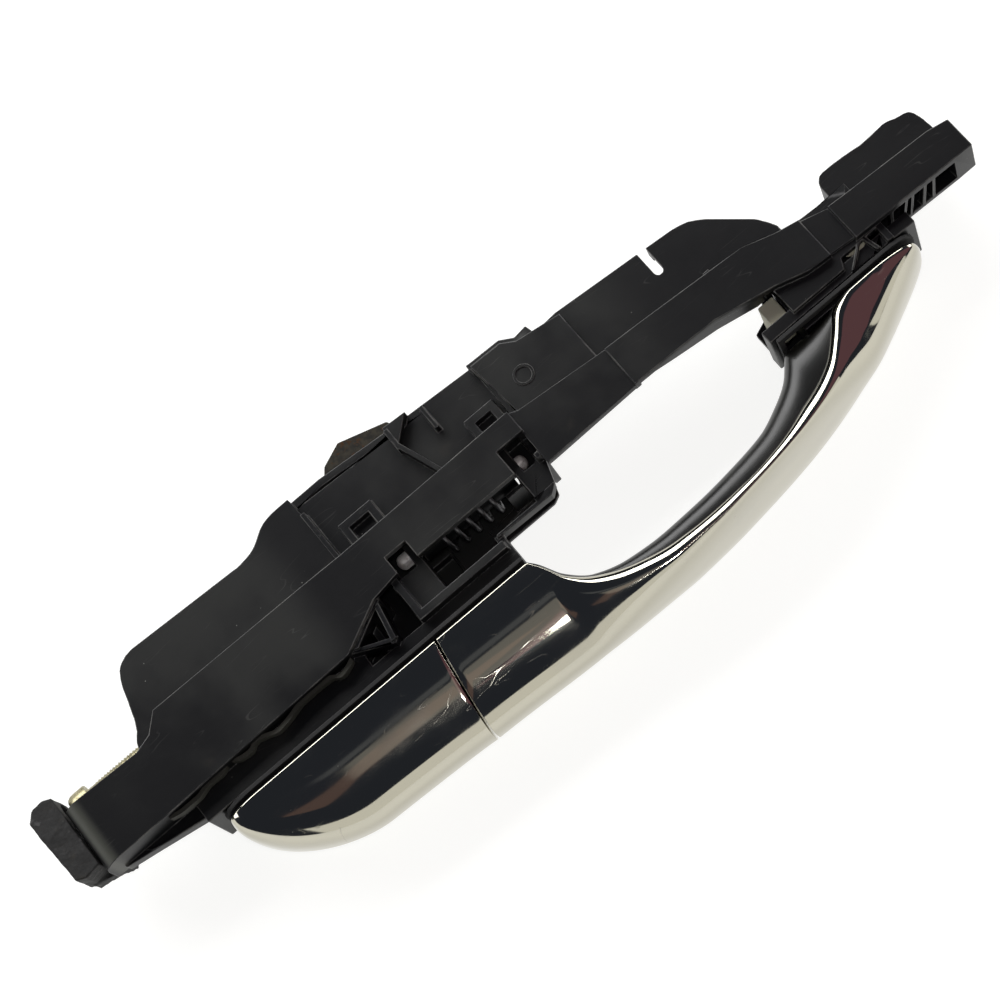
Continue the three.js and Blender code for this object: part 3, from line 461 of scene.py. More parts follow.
@dataclass(frozen=True)
class ChromePlate(Finish):
    """Bright chrome over plastic, tinted cream as a painted reflection of warm surroundings, with a faint
    ripple, wiped smudges and hairline scratches.
    """

    # the cream tint of this base colour is a painted reflection of warm surroundings seen in the plate
    colour: Colour = (0.50, 0.48, 0.40)
    scratch_at: Point = (-52.0, -25.5, 0.0)
    scratch_turn: float = -0.84
    scratch_size: Point = (2.1, 0.11, 0.0)

    def write(self, sheet: FinishSheet) -> None:
        """Writes smudges, scratches and the one deep nick near the cap's tip."""
        smudge = sheet.step(sheet.clouds(11.0, 5.0, sheet.moved((0.45, 1.0, 1.0))), 0.46, 0.80)
        wipe = sheet.clouds(1.6, 3.0, sheet.moved((0.14, 1.0, 1.0), (0.0, 0.0, 0.35)), 3.0)
        lines = sheet.hairlines(4.2, 0.0045, 0.9, 6.0, 1.0) + sheet.hairlines(5.6, 0.004, 2.3, 6.0, 8.0)
        c, s = math.cos(self.scratch_turn), math.sin(self.scratch_turn)
        x = sheet.axis(0) - self.scratch_at[0] * MM
        y = sheet.axis(1) - self.scratch_at[1] * MM
        along = abs(x * c - y * s)
        across = abs(x * s + y * c)
        length, width = self.scratch_size[0] * MM, self.scratch_size[1] * MM
        nick = (along < length) * (across < width) * (sheet.axis(2) > 0.0)
        pits = sheet.specks(3.4, 0.09, 0.10)
        marks = lines * 0.5 + nick + pits * 0.8
        colour = sheet.tint(smudge * 0.28 + marks * 0.25, self.colour, (0.42, 0.41, 0.37))
        rough = 0.045 + smudge * 0.12 + wipe * 0.035 + marks * 0.33
        ripple = sheet.relief(sheet.clouds(26.0, 1.5, None, 2.0), 0.035)
        normal = sheet.relief(1.0 - (lines * 0.3 + nick), 0.004, ripple)
        sheet.surface(colour, rough, normal, {"Metallic": 1.0})


@dataclass(frozen=True)
class SatinShell(Finish):
    """Smooth satin-black plastic of the hand side of the grip."""

    colour: Colour = (0.0045, 0.0045, 0.0040)
    rough: float = 0.26

    def write(self, sheet: FinishSheet) -> None:
        """Writes a skin-polished satin with fine wear along the pull direction."""
        handled = sheet.step(sheet.clouds(16.0, 3.0), 0.40, 0.72)
        fine = sheet.clouds(0.5, 2.0, sheet.moved((0.25, 1.0, 1.0)), 1.0)
        dust = sheet.specks(2.8, 0.12, 0.08)
        colour = sheet.tint(handled * 0.6, self.colour, (0.012, 0.0115, 0.0095))
        dusty = sheet.tint(dust, colour, (0.14, 0.14, 0.13))
        rough = self.rough + handled * 0.08 + fine * 0.06
        sheet.surface(dusty, rough, sheet.relief(fine, 0.004), {"IOR": 1.5, "Specular IOR Level": 0.4})


@dataclass(frozen=True)
class SoftRubber(Finish):
    """Dull black rubber with a fine open grain and pale bloom."""

    colour: Colour = (0.012, 0.012, 0.012)

    def write(self, sheet: FinishSheet) -> None:
        """Writes grain and bloom."""
        bloom = sheet.step(sheet.clouds(8.0, 4.0), 0.45, 0.75)
        grain = sheet.clouds(0.35, 3.0, None, 2.0)
        colour = sheet.tint(bloom * 0.5, self.colour, (0.035, 0.034, 0.032))
        sheet.surface(colour, 0.72 + grain * 0.2, sheet.relief(grain, 0.03), {"IOR": 1.48})


@dataclass(frozen=True)
class TornFoam(Finish):
    """Dark closed-cell foam, scuffed grey and brown where it has rubbed."""

    colour: Colour = (0.0055, 0.0053, 0.0050)

    def write(self, sheet: FinishSheet) -> None:
        """Writes pores, scuffs and dirt."""
        scuff = sheet.step(sheet.clouds(4.6, 6.0, None, 2.0), 0.58, 0.66)
        dirt = sheet.step(sheet.clouds(5.0, 4.0, None, 6.0), 0.56, 0.72)
        pores = sheet.clouds(0.8, 4.0, None, 4.0)
        brown = sheet.tint(dirt * 0.35, self.colour, (0.028, 0.022, 0.013))
        colour = sheet.tint(scuff * 0.5, brown, (0.085, 0.084, 0.084))
        sheet.surface(colour, 0.55 + pores * 0.3, sheet.relief(pores, 0.10), {"IOR": 1.45})


@dataclass(frozen=True)
class WornMetal(Finish):
    """Plain or plated metal with tarnish, tool marks and rust in the hollows."""

    colour: Colour = (0.55, 0.53, 0.50)
    tarnish: Colour = (0.26, 0.24, 0.21)
    rust: Colour = (0.085, 0.042, 0.020)
    rough: float = 0.34
    rust_share: float = 0.5
    metal: float = 0.92

    def write(self, sheet: FinishSheet) -> None:
        """Writes tarnish, rust and tool marks."""
        dull = sheet.step(sheet.clouds(1.8, 4.0), 0.38, 0.70)
        rust = sheet.step(sheet.clouds(1.2, 5.0, None, 5.0), 0.54, 0.68) * self.rust_share
        marks = sheet.clouds(0.3, 2.0, sheet.moved((0.3, 1.0, 1.0)), 7.0)
        base = sheet.tint(dull * 0.8, self.colour, self.tarnish)
        colour = sheet.tint(rust, base, self.rust)
        normal = sheet.relief(marks, 0.012, sheet.relief(rust, 0.03))
        sheet.surface(colour, self.rough + dull * 0.14 + rust * 0.4, normal, {"Metallic": self.metal})


@dataclass(frozen=True)
class PaleNylon(Finish):
    """Natural, slightly yellowed nylon with grey fingering."""

    colour: Colour = (0.44, 0.425, 0.345)

    def write(self, sheet: FinishSheet) -> None:
        """Writes yellowing and grime."""
        grime = sheet.step(sheet.clouds(3.0, 5.0), 0.50, 0.75)
        grain = sheet.clouds(0.4, 2.0, None, 2.0)
        colour = sheet.tint(grime * 0.5, self.colour, (0.22, 0.20, 0.155))
        sheet.surface(
            colour, 0.42 + grime * 0.15, sheet.relief(grain, 0.01),
            {"IOR": 1.53, "Subsurface Weight": 0.12, "Subsurface Scale": 0.001})


# the carrier's nylon carries the painted highlight band on its rear end
NYLON = MouldedNylon("moulded_black_nylon", Slot.BLACK_NYLON, end_highlight=1.0)
RUBBED_AND_HIGHLIGHT = RubbedAndHighlightedEdge("rubbed_and_highlighted_nylon_edge", Slot.BLACK_NYLON)
LEVER_NYLON = MouldedNylon("lever_black_nylon", Slot.SATIN_BLACK, rough=0.34, grey_share=0.2)
SATIN = SatinShell("satin_black_shell", Slot.SATIN_BLACK)
CHROME = ChromePlate("bright_chrome_plate", Slot.CHROME)
RUBBER = SoftRubber("soft_black_rubber", Slot.BLACK_RUBBER)
FOAM = TornFoam("torn_black_foam", Slot.END_FOAM)
STEEL = WornMetal("worn_bright_steel", Slot.BRIGHT_STEEL, colour=(0.66, 0.64, 0.61), rough=0.28)
SPRING = WornMetal(
    "dark_spring_steel", Slot.SPRING_STEEL, colour=(0.13, 0.13, 0.135), tarnish=(0.07, 0.07, 0.072),
    rust_share=0.25)
YELLOW_ZINC = WornMetal(
    "yellow_zinc_plate", Slot.YELLOW_ZINC, colour=(0.34, 0.31, 0.19), tarnish=(0.13, 0.12, 0.075),
    rust_share=0.35)
BLACKENED_ZINC = WornMetal(
    "blackened_zinc_casting", Slot.GREY_ZINC, colour=(0.020, 0.019, 0.017), tarnish=(0.045, 0.040, 0.030),
    rough=0.5, rust_share=0.7)
# painted highlight: a near-white, barely metallic colour that makes the lever pin's ends look bright
PALE_PIN_HIGHLIGHT = WornMetal(
    "pale_highlight_pin_steel", Slot.BRIGHT_STEEL, colour=(0.80, 0.78, 0.75), tarnish=(0.50, 0.46, 0.42), rough=0.42,
    rust_share=0.35, metal=0.25)
GREY_ZINC = WornMetal(
    "grey_zinc_casting", Slot.GREY_ZINC, colour=(0.36, 0.35, 0.33), tarnish=(0.20, 0.195, 0.185),
    rust_share=0.1)
DUSTY = MouldedNylon(
    "dusty_black_nylon", Slot.BLACK_NYLON, colour=(0.034, 0.034, 0.028), greyed=(0.062, 0.062, 0.052),
    rough=0.6)
PALE_NYLON = PaleNylon("natural_nylon", Slot.NATURAL_NYLON)


# ------------------------------------------------------------------ mesh making


def new_object(name: str, mesh: bpy.types.Mesh) -> bpy.types.Object:
    """Puts a mesh in the scene under a name.

    Args:
        name: the object's name.
        mesh: its mesh.

    Returns:
        The new object.
    """
    mesh.name = name
    made = bpy.data.objects.new(name, mesh)
    bpy.context.scene.collection.objects.link(made)
    return made


def from_bmesh(name: str, bm: bmesh.types.BMesh) -> bpy.types.Object:
    """Makes an object from a bmesh, with its faces turned outwards.

    Args:
        name: the object's name.
        bm: the shape, freed here.

    Returns:
        The new object.
    """
    bmesh.ops.remove_doubles(bm, verts=bm.verts, dist=2e-6)
    bmesh.ops.recalc_face_normals(bm, faces=bm.faces)
    mesh = bpy.data.meshes.new(name)
    bm.to_mesh(mesh)
    bm.free()
    return new_object(name, mesh)


def evaluated_mesh(obj: bpy.types.Object) -> bpy.types.Mesh:
    """A plain copy of an object's mesh with its modifiers taken in."""
    graph = bpy.context.evaluated_depsgraph_get()
    return bpy.data.meshes.new_from_object(obj.evaluated_get(graph))


def settle(obj: bpy.types.Object) -> bpy.types.Object:
    """Takes an object's modifiers into its mesh and removes them.

    Args:
        obj: the object.

    Returns:
        The same object.
    """
    made = evaluated_mesh(obj)
    obj.modifiers.clear()
    old, obj.data = obj.data, made
    bpy.data.meshes.remove(old)
    return obj


def combine(obj: bpy.types.Object, tools: Sequence[bpy.types.Object], how: Cut) -> bpy.types.Object:
    """Cuts tools away from a piece or joins them onto it.

    Args:
        obj: the piece.
        tools: closed shapes, removed afterwards.
        how: away or onto.

    Returns:
        The piece.
    """
    for tool in tools:
        change = obj.modifiers.new("combine", "BOOLEAN")
        change.operation = how.value
        change.object = tool
        change.solver = "EXACT"
        settle(obj)
        bpy.data.objects.remove(tool)
    return obj


def box(low: Point, high: Point) -> bpy.types.Object:
    """A plain block used as a cutting or joining tool.

    Args:
        low: lowest corner in millimetres.
        high: highest corner.

    Returns:
        The tool.
    """
    bm = bmesh.new()
    size = [h - l for l, h in zip(low, high)]
    middle = [(h + l) / 2 for l, h in zip(low, high)]
    turn = Matrix.Translation(Vector(middle) * MM) @ Matrix.Diagonal((*[s * MM for s in size], 1.0))
    bmesh.ops.create_cube(bm, size=1.0, matrix=turn)
    return from_bmesh("tool_block", bm)


def prism(name: str, outline: Sequence[tuple[float, float]], across: str, low: float,
          high: float) -> bpy.types.Object:
    """An outline raised along one axis.

    Args:
        name: the object's name.
        outline: corners in the plane across that axis, in millimetres.
        across: "y" for an outline in x and z, "z" for one in x and y.
        low: where the prism starts along the axis.
        high: where it ends.

    Returns:
        The new object.
    """
    bm = bmesh.new()
    ends = []
    for level in (low, high):
        corners = [(a, level, b) if across == "y" else (a, b, level) for a, b in outline]
        ends.append([bm.verts.new(Vector(c) * MM) for c in corners])
    count = len(outline)
    bm.faces.new(ends[0])
    bm.faces.new(ends[1])
    for i in range(count):
        j = (i + 1) % count
        bm.faces.new((ends[0][i], ends[0][j], ends[1][j], ends[1][i]))
    return from_bmesh(name, bm)


def turned(name: str, profile: Sequence[tuple[float, float]], foot: Point, axis: Axis,
           sides: int = 40) -> bpy.types.Object:
    """A turned solid or sleeve.

    Args:
        name: the object's name.
        profile: pairs of radius and distance along the axis, in millimetres.
        foot: where distance 0 is.
        axis: which way the axis points.
        sides: how many sides a circle has.

    Returns:
        The new object.
    """
    bm = bmesh.new()
    turn = Vector((0, 0, 1)).rotation_difference(Vector(axis.value)).to_matrix()
    rings = []
    for radius, along in profile:
        ring = []
        for i in range(sides):
            angle = 2 * math.pi * i / sides
            local = Vector((radius * math.cos(angle), radius * math.sin(angle), along))
            ring.append(bm.verts.new((turn @ local + Vector(foot)) * MM))
        rings.append(ring)
    closed = profile[0] == profile[-1]
    for ring, after in zip(rings, rings[1:]):
        for i in range(sides):
            j = (i + 1) % sides
            bm.faces.new((ring[i], ring[j], after[j], after[i]))
    if not closed:
        for ring in (rings[0], rings[-1]):
            if len({tuple(round(c, 7) for c in v.co) for v in ring}) > 1:
                bm.faces.new(ring)
    return from_bmesh(name, bm)


def skin(name: str, rings: Sequence[np.ndarray], end_pairs: bool) -> bpy.types.Object:
    """A closed skin through rings of points.

    Args:
        name: the object's name.
        rings: arrays of points in millimetres, all of one length.
        end_pairs: close the last ring across, outer half to inner half, instead of with one face.

    Returns:
        The new object.
    """
    bm = bmesh.new()
    rows = [[bm.verts.new(Vector(p) * MM) for p in ring] for ring in rings]
    count = len(rows[0])
    for row, after in zip(rows, rows[1:]):
        for i in range(count):
            j = (i + 1) % count
            bm.faces.new((row[i], row[j], after[j], after[i]))
    for row in (rows[0], rows[-1]):
        spread = max((v.co - row[0].co).length for v in row)
        if spread < 1e-7:
            continue
        if end_pairs:
            half = count // 2
            for i in range(half - 1):
                bm.faces.new((row[i], row[i + 1], row[count - 2 - i], row[count - 1 - i]))
        else:
            bm.faces.new(row)
    bmesh.ops.remove_doubles(bm, verts=bm.verts, dist=2e-6)
    bmesh.ops.dissolve_degenerate(bm, edges=bm.edges, dist=1e-6)
    return from_bmesh(name, bm)


def shade(obj: bpy.types.Object, corner: float = 38.0, weighted: bool = False) -> bpy.types.Object:
    """Smooth shading with true corners kept.

    Args:
        obj: the piece.
        corner: angle in degrees from which an edge counts as a corner.
        weighted: let large faces keep their own flat normals.

    Returns:
        The same piece.
    """
    obj.data.polygons.foreach_set("use_smooth", [True] * len(obj.data.polygons))
    obj.data.set_sharp_from_angle(angle=math.radians(corner))
    if weighted:
        change = obj.modifiers.new("flat_faces", "WEIGHTED_NORMAL")
        change.keep_sharp = True
        change.weight = 100
        obj.modifiers.new("whole_triangles", "TRIANGULATE").keep_custom_normals = True
        settle(obj)
    return obj


def dress(obj: bpy.types.Object, finish: Finish, edge: Optional[Finish] = None) -> bpy.types.Object:
    """Gives a piece its finish, and its eased edges another.

    Args:
        obj: the piece.
        finish: the finish of the whole piece.
        edge: the finish of faces with material index 1.

    Returns:
        The same piece.
    """
    indices = [0] * len(obj.data.polygons)
    obj.data.polygons.foreach_get("material_index", indices)
    obj.data.materials.clear()
    obj.data.materials.append(finish.material())
    if edge is not None:
        obj.data.materials.append(edge.material())
        obj.data.polygons.foreach_set("material_index", indices)
    else:
        obj.data.polygons.foreach_set("material_index", [0] * len(indices))
    return obj


def hang(obj: bpy.types.Object, body: Body, *nodes: str) -> bpy.types.Object:
    """Lets a piece ride on a body and stand for CAD nodes.

    Args:
        obj: the finished piece.
        body: the body it moves with.
        nodes: the nodes it stands for.

    Returns:
        The same piece.
    """
    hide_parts(*nodes)
    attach(obj, body.value)
    count = len(obj.data.polygons)
    log.info("%s: %d faces on %s, stands for %s", obj.name, count, body.value, ", ".join(nodes))
    return obj


def merged_copy(node: str, name: str, flat: float = 0.6, least: float = 0.001) -> bpy.types.Object:
    """A copy of a CAD node with its loose triangles merged into whole faces.

    Args:
        node: the CAD node.
        name: name of the copy.
        flat: angle in degrees under which neighbouring faces are one.
        least: length in millimetres under which an edge is closed up.

    Returns:
        The copy.
    """
    bm = bmesh.new()
    bm.from_mesh(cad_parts[node].data)
    bmesh.ops.remove_doubles(bm, verts=bm.verts, dist=4e-6)
    bmesh.ops.dissolve_degenerate(bm, edges=bm.edges, dist=least * MM)
    bmesh.ops.dissolve_limit(
        bm, angle_limit=math.radians(flat), verts=bm.verts, edges=bm.edges, delimit=set())
    mesh = bpy.data.meshes.new(name)
    bm.to_mesh(mesh)
    bm.free()
    return new_object(name, mesh)


def ease_edges(obj: bpy.types.Object, width: float, corner: float = 24.0,
               segments: int = 2) -> bpy.types.Object:
    """Rounds the corners of a moulding, less where its details are too small for the full width.

    Args:
        obj: the moulding, with whole faces.
        width: the full radius in millimetres.
        corner: angle in degrees from which an edge is rounded.
        segments: steps across the rounding.

    Returns:
        The same moulding, with the rounded faces on material index 1.
    """
    bm = bmesh.new()
    bm.from_mesh(obj.data)
    weights = bm.edges.layers.float.new("bevel_weight_edge")
    room = {v: min((e.calc_length() for e in v.link_edges), default=0.0) for v in bm.verts}
    for edge in bm.edges:
        if len(edge.link_faces) != 2 or edge.calc_face_angle(0.0) < math.radians(corner):
            continue
        allowed = 0.30 * min(room[edge.verts[0]], room[edge.verts[1]])
        edge[weights] = max(0.0, min(1.0, allowed / (width * MM)))
    bm.to_mesh(obj.data)
    bm.free()
    places = np.array([v.co for v in obj.data.vertices])
    low, high = places.min(axis=0), places.max(axis=0)
    change = obj.modifiers.new("eased", "BEVEL")
    change.limit_method = "WEIGHT"
    change.offset_type = "OFFSET"
    change.width = width * MM
    change.segments = segments
    change.use_clamp_overlap = False
    change.miter_outer = "MITER_SHARP"
    change.material = 1
    obj.data.materials.append(None)
    obj.data.materials.append(None)
    settle(obj)
    for vertex in obj.data.vertices:
        vertex.co = Vector(np.clip(vertex.co, low, high))
    return obj


def eased_node(node: str, name: str, width: float = 0.25) -> bpy.types.Object:
    """A CAD node with whole faces, eased corners and shading that suits them.

    Args:
        node: the CAD node.
        name: the piece's name.
        width: radius of the eased corners in millimetres.

    Returns:
        The piece.
    """
    return shade(ease_edges(merged_copy(node, name), width), 50.0, weighted=True)


# ------------------------------------------------------------------ wires and threads along a path


@dataclass
class WirePath:
    """A round wire laid along a path by geometry nodes."""

    name: str
    points: Sequence[Point]
    radius: float
    finish: Finish
    sides: int = 10

    def _tree(self) -> bpy.types.NodeTree:
        """Writes the tree: path to curve, a round section along it, then the material.

        Returns:
            The node group.
        """
        group = bpy.data.node_groups.new(f"{self.name}_wire", "GeometryNodeTree")
        face = group.interface
        face.new_socket("Path", in_out="INPUT", socket_type="NodeSocketGeometry")
        face.new_socket("Wire Radius", in_out="INPUT", socket_type="NodeSocketFloat")
        face.new_socket("Sides", in_out="INPUT", socket_type="NodeSocketInt")
        face.new_socket("Wire", in_out="OUTPUT", socket_type="NodeSocketGeometry")
        tree = Tree(group)
        given = tree.node("NodeGroupInput", {}, {})
        curve = tree.node("GeometryNodeMeshToCurve", {}, {"Mesh": tree.out(given, "Path")})
        section = tree.node(
            "GeometryNodeCurvePrimitiveCircle", {"mode": "RADIUS"},
            {"Resolution": tree.out(given, "Sides"), "Radius": tree.out(given, "Wire Radius")})
        wire = tree.node(
            "GeometryNodeCurveToMesh", {},
            {"Curve": tree.out(curve), "Profile Curve": tree.out(section), "Fill Caps": True})
        real = tree.node("GeometryNodeRealizeInstances", {}, {"Geometry": tree.out(wire)})
        dressed = tree.node(
            "GeometryNodeSetMaterial", {}, {"Geometry": tree.out(real), "Material": self.finish.material()})
        tree.node("NodeGroupOutput", {}, {"Wire": tree.out(dressed)})
        return group

    def build(self) -> bpy.types.Object:
        """Lays the wire and turns it into a plain mesh.

        Returns:
            The wire, at the origin.
        """
        mesh = bpy.data.meshes.new(self.name)
        mesh.from_pydata(
            [Vector(p) * MM for p in self.points], [(i, i + 1) for i in range(len(self.points) - 1)], [])
        made = new_object(self.name, mesh)
        group = self._tree()
        change = made.modifiers.new("wire", "NODES")
        change.node_group = group
        names = {item.name: item.identifier for item in group.interface.items_tree}
        change[names["Wire Radius"]] = self.radius * MM
        change[names["Sides"]] = self.sides
        return shade(settle(made), 60.0)


# ------------------------------------------------------------------ form of the handle


@dataclass(frozen=True)
class SmoothLine:
    """A smooth curve through a few points, which never swings past them."""

    points: tuple[tuple[float, float], ...]

    def _slope(self, i: int) -> float:
        """Slope of one stretch between two points."""
        (x0, v0), (x1, v1) = self.points[i], self.points[i + 1]
        return (v1 - v0) / (x1 - x0)

    def _tangent(self, i: int) -> float:
        """Slope of the curve at one point.

        Args:
            i: which point.

        Returns:
            The slope there.
        """
        last = len(self.points) - 1
        if i == 0:
            return self._slope(0)
        if i == last:
            return self._slope(last - 1)
        before, after = self._slope(i - 1), self._slope(i)
        return 0.0 if before * after <= 0 else 2 * before * after / (before + after)

    def __call__(self, x: float) -> float:
        """Value of the curve.

        Args:
            x: where along it.

        Returns:
            The value there.
        """
        after = next((i for i, (px, _) in enumerate(self.points) if px > x), len(self.points) - 1)
        i = min(max(0, after - 1), len(self.points) - 2)
        (x0, v0), (x1, v1) = self.points[i], self.points[i + 1]
        span = x1 - x0
        t = min(1.0, max(0.0, (x - x0) / span))
        return ((2 * t ** 3 - 3 * t ** 2 + 1) * v0 + (t ** 3 - 2 * t ** 2 + t) * span * self._tangent(i)
                + (3 * t ** 2 - 2 * t ** 3) * v1 + (t ** 3 - t ** 2) * span * self._tangent(i + 1))


def end_fullness(distance: float, length: float, power: float) -> float:
    """How full a section is near a rounded end: 1 from length inwards, 0 at the tip.

    Args:
        distance: distance from the tip.
        length: how long the rounded end is.
        power: how blunt it is.

    Returns:
        The fullness from 0 to 1.
    """
    if distance >= length:
        return 1.0
    reach = 1.0 - max(0.0, distance) / length
    return (1.0 - reach ** power) ** (1.0 / power)


@dataclass
class HandleForm:
    """Outer form that the fixed cap and the moving grip share."""

    half_height: float = 13.4
    wall: float = 1.8
    split_y: float = -3.7
    base_y: float = -2.2
    cap_tip: float = -73.5
    grip_tip: float = 165.0
    joint_slope: float = 0.155
    joint_gap: float = 0.35
    joint_reach: float = 16.0
    edge_round: float = 0.16
    tip_lift: float = 3.4
    plated_power: float = 2.55
    black_power: float = 3.0
    lip_most: float = 4.6
    lip_least: float = 0.5
    lip_turn: float = 58.0
    arc_points: int = 60
    lip_points: int = 7
    street: SmoothLine = SmoothLine((
        (-73, -28), (-37, -29), (0, -30.6), (35, -32.3), (62, -31.5), (86, -29), (104, -26.3),
        (124, -22.6), (138, -19.4), (151, -16), (168, -12)))
    split: SmoothLine = SmoothLine((
        (31.5, -3.7), (33.5, -6.3), (37, -12.6), (43.3, -17.9), (53.5, -22.3), (65, -24.8), (75, -25.4),
        (90, -25), (102, -23.1), (113.7, -19), (121, -15.3), (129, -9.3), (133, -5.6), (139, -3.7),
        (150, -3.7), (165, -4.6)))
    line: SmoothLine = SmoothLine((
        (31.5, -3.7), (33.5, -7), (37, -14.6), (42.6, -20.9), (51, -25.2), (65, -28.1), (76, -28.1),
        (91, -26.8), (106, -24.7), (117, -22.0), (125, -18.4), (132, -12.2), (138, -6), (143, -3.8),
        (150, -3.7), (165, -4.6)))
    hand: SmoothLine = SmoothLine((
        (31.5, -2.2), (33.5, -4.2), (37, -10.2), (43, -15.4), (53, -18.2), (64, -18.9), (75, -18.6),
        (88.5, -17.5), (99.7, -15.7), (108.4, -11.9), (114.2, -8.2), (117.2, -5), (120, -2.2),
        (150, -2.2), (165, -3.55)))

    def fullness(self, x: float) -> float:
        """How far the street side stands out, as a share of its full depth."""
        return min(end_fullness(x - self.cap_tip, 34, 1.75), end_fullness(self.grip_tip - x, 30, 1.6))

    def height(self, x: float) -> float:
        """Half the height of the section at a station.

        Args:
            x: the station.

        Returns:
            Half the height in millimetres, 0 at the very tips.
        """
        ends = min(end_fullness(x - self.cap_tip, 13, 2.4), end_fullness(self.grip_tip - x, 13, 2))
        blunt = min(end_fullness(x - self.cap_tip, 2.2, 2.2), end_fullness(self.grip_tip - x, 2.2, 2.2))
        return self.half_height * (0.34 + 0.66 * ends) * blunt

    def lift(self, x: float) -> float:
        """How much higher a section is centred near the front tip."""
        return self.tip_lift * max(0.0, 1 - (self.grip_tip - x) / 16) ** 2

    def lip_radius(self, x: float) -> float:
        """Radius of the rolled lip that leads from the plated half's line to where the black half starts."""
        wanted = (self.split(x) - self.line(x)) / math.sin(math.radians(self.lip_turn))
        return min(self.lip_most, max(self.lip_least, wanted))

    def sheared(self, x: float, y: float, side: int) -> float:
        """X of a point near the slanted joint.

        Args:
            x: its station.
            y: how far out it lies.
            side: -1 for the cap, 1 for the grip, 0 for a piece without a joint.

        Returns:
            Its true x.
        """
        share = max(0.0, 1 - abs(x) / self.joint_reach) ** 2 if side else 0.0
        return x + share * (self.joint_slope * (y - self.split_y) + side * self.joint_gap)

    def _arc(self, depth: float, height: float, power: float) -> list[tuple[float, float]]:
        """Half a superellipse from its lowest to its highest point.

        Args:
            depth: how far it reaches, signed.
            height: half its height.
            power: how square it is.

        Returns:
            Pairs of depth and height.
        """
        found = []
        for i in range(self.arc_points):
            angle = (i / (self.arc_points - 1) - 0.5) * math.pi
            c, s = max(0.0, math.cos(angle)), math.sin(angle)
            found.append((depth * c ** (2 / power), height * math.copysign(abs(s) ** (2 / power), s)))
        return found

    def _lip(self, height: float, radius: float) -> list[tuple[float, float]]:
        """The rolled edge above the widest line, from that line onwards.

        Args:
            height: half height of the section.
            radius: radius of the roll.

        Returns:
            Pairs of depth and height.
        """
        radius = min(radius, height * 0.5)
        angles = [math.radians(self.lip_turn) * k / self.lip_points for k in range(1, self.lip_points + 1)]
        return [(radius * math.sin(a), height - radius * (1 - math.cos(a))) for a in angles]

    def plated_ring(self, x: float, side: int, hollow: bool, inset: float = 0.0) -> np.ndarray:
        """One ring of a plated shell: outer skin, rolled lips and the wall's inner skin.

        Args:
            x: the station.
            side: -1 for the cap, 1 for the grip.
            hollow: whether the shell is hollow there.
            inset: how much smaller the ring is than the full form.

        Returns:
            The ring's points in millimetres.
        """
        line, height = self.line(x), max(0.0, self.height(x) - inset)
        depth = min(0.0, (self.street(x) - line) * self.fullness(x) * min(1.0, height / 6.0) ** 0.35 + inset)
        lip = self._lip(height, self.lip_radius(x))
        outer = [(y, -z) for y, z in reversed(lip)] + self._arc(depth, height, self.plated_power) + lip
        rim_y, rim_z = lip[-1]
        inner_height = max(0.0, rim_z - self.wall * 0.7 * min(1.0, height / 6.0))
        count = len(outer)
        inner_depth = min(0.0, depth + self.wall) if hollow else 0.0
        inner = []
        for i in range(count):
            angle = (i / (count - 1) - 0.5) * math.pi
            c, s = max(0.0, math.cos(angle)), math.sin(angle)
            inner.append((rim_y + (inner_depth - rim_y) * c ** (2 / 3) if hollow else rim_y,
                          inner_height * math.copysign(abs(s) ** (2 / 3), s) if hollow else inner_height * s))
        points = outer + inner[::-1]
        return np.array([(self.sheared(x, line + y, side), line + y, z + self.lift(x)) for y, z in points])

    def black_ring(self, x: float, side: int, inset: float = 0.0) -> np.ndarray:
        """One ring of the black half, tucked under the plated lip.

        Args:
            x: the station.
            side: 1 for the grip, -1 for the cap.
            inset: how much smaller the ring is than the full form.

        Returns:
            The ring's points in millimetres.
        """
        radius = self.lip_radius(x)
        turn = math.radians(self.lip_turn)
        line = self.line(x) + radius * math.sin(turn) * 0.55 + 0.05
        height = max(0.0, self.height(x) - 0.25 - radius * (1 - math.cos(turn)) * 1.15 - inset)
        depth = max(0.02, self.hand(x) - line)
        arc = self._arc(depth, height, self.black_power)
        back = [(0.0, height * (1 - 2 * k / 6)) for k in range(1, 6)]
        return np.array([
            (self.sheared(x, line + y, side), line + y, z + self.lift(x)) for y, z in arc + back])

    def towards_tip(self, tip: float, inner: float, count: int) -> list[float]:
        """Stations that crowd towards a tip, tip first.

        Args:
            tip: x of the tip.
            inner: x of the last station.
            count: how many steps.

        Returns:
            The stations.
        """
        return [tip + (inner - tip) * (i / count) ** 2.2 for i in range(count + 1)]

    def joint_stations(self, side: int) -> list[tuple[float, bool, float]]:
        """Stations of the wall at the joint, from the hollow outwards.

        Args:
            side: -1 for the cap, 1 for the grip.

        Returns:
            Triples of station, hollow or not, and inset.
        """
        wall = 2.2
        steps = [(side * wall, True, 0.0), (side * wall, False, 0.0)]
        for k in range(4):
            angle = math.radians(30 * k)
            steps.append((side * self.edge_round * (1 - math.sin(angle)), False,
                          self.edge_round * (1 - math.cos(angle))))
        return steps


FORM = HandleForm()


# ------------------------------------------------------------------ sub-assemblies


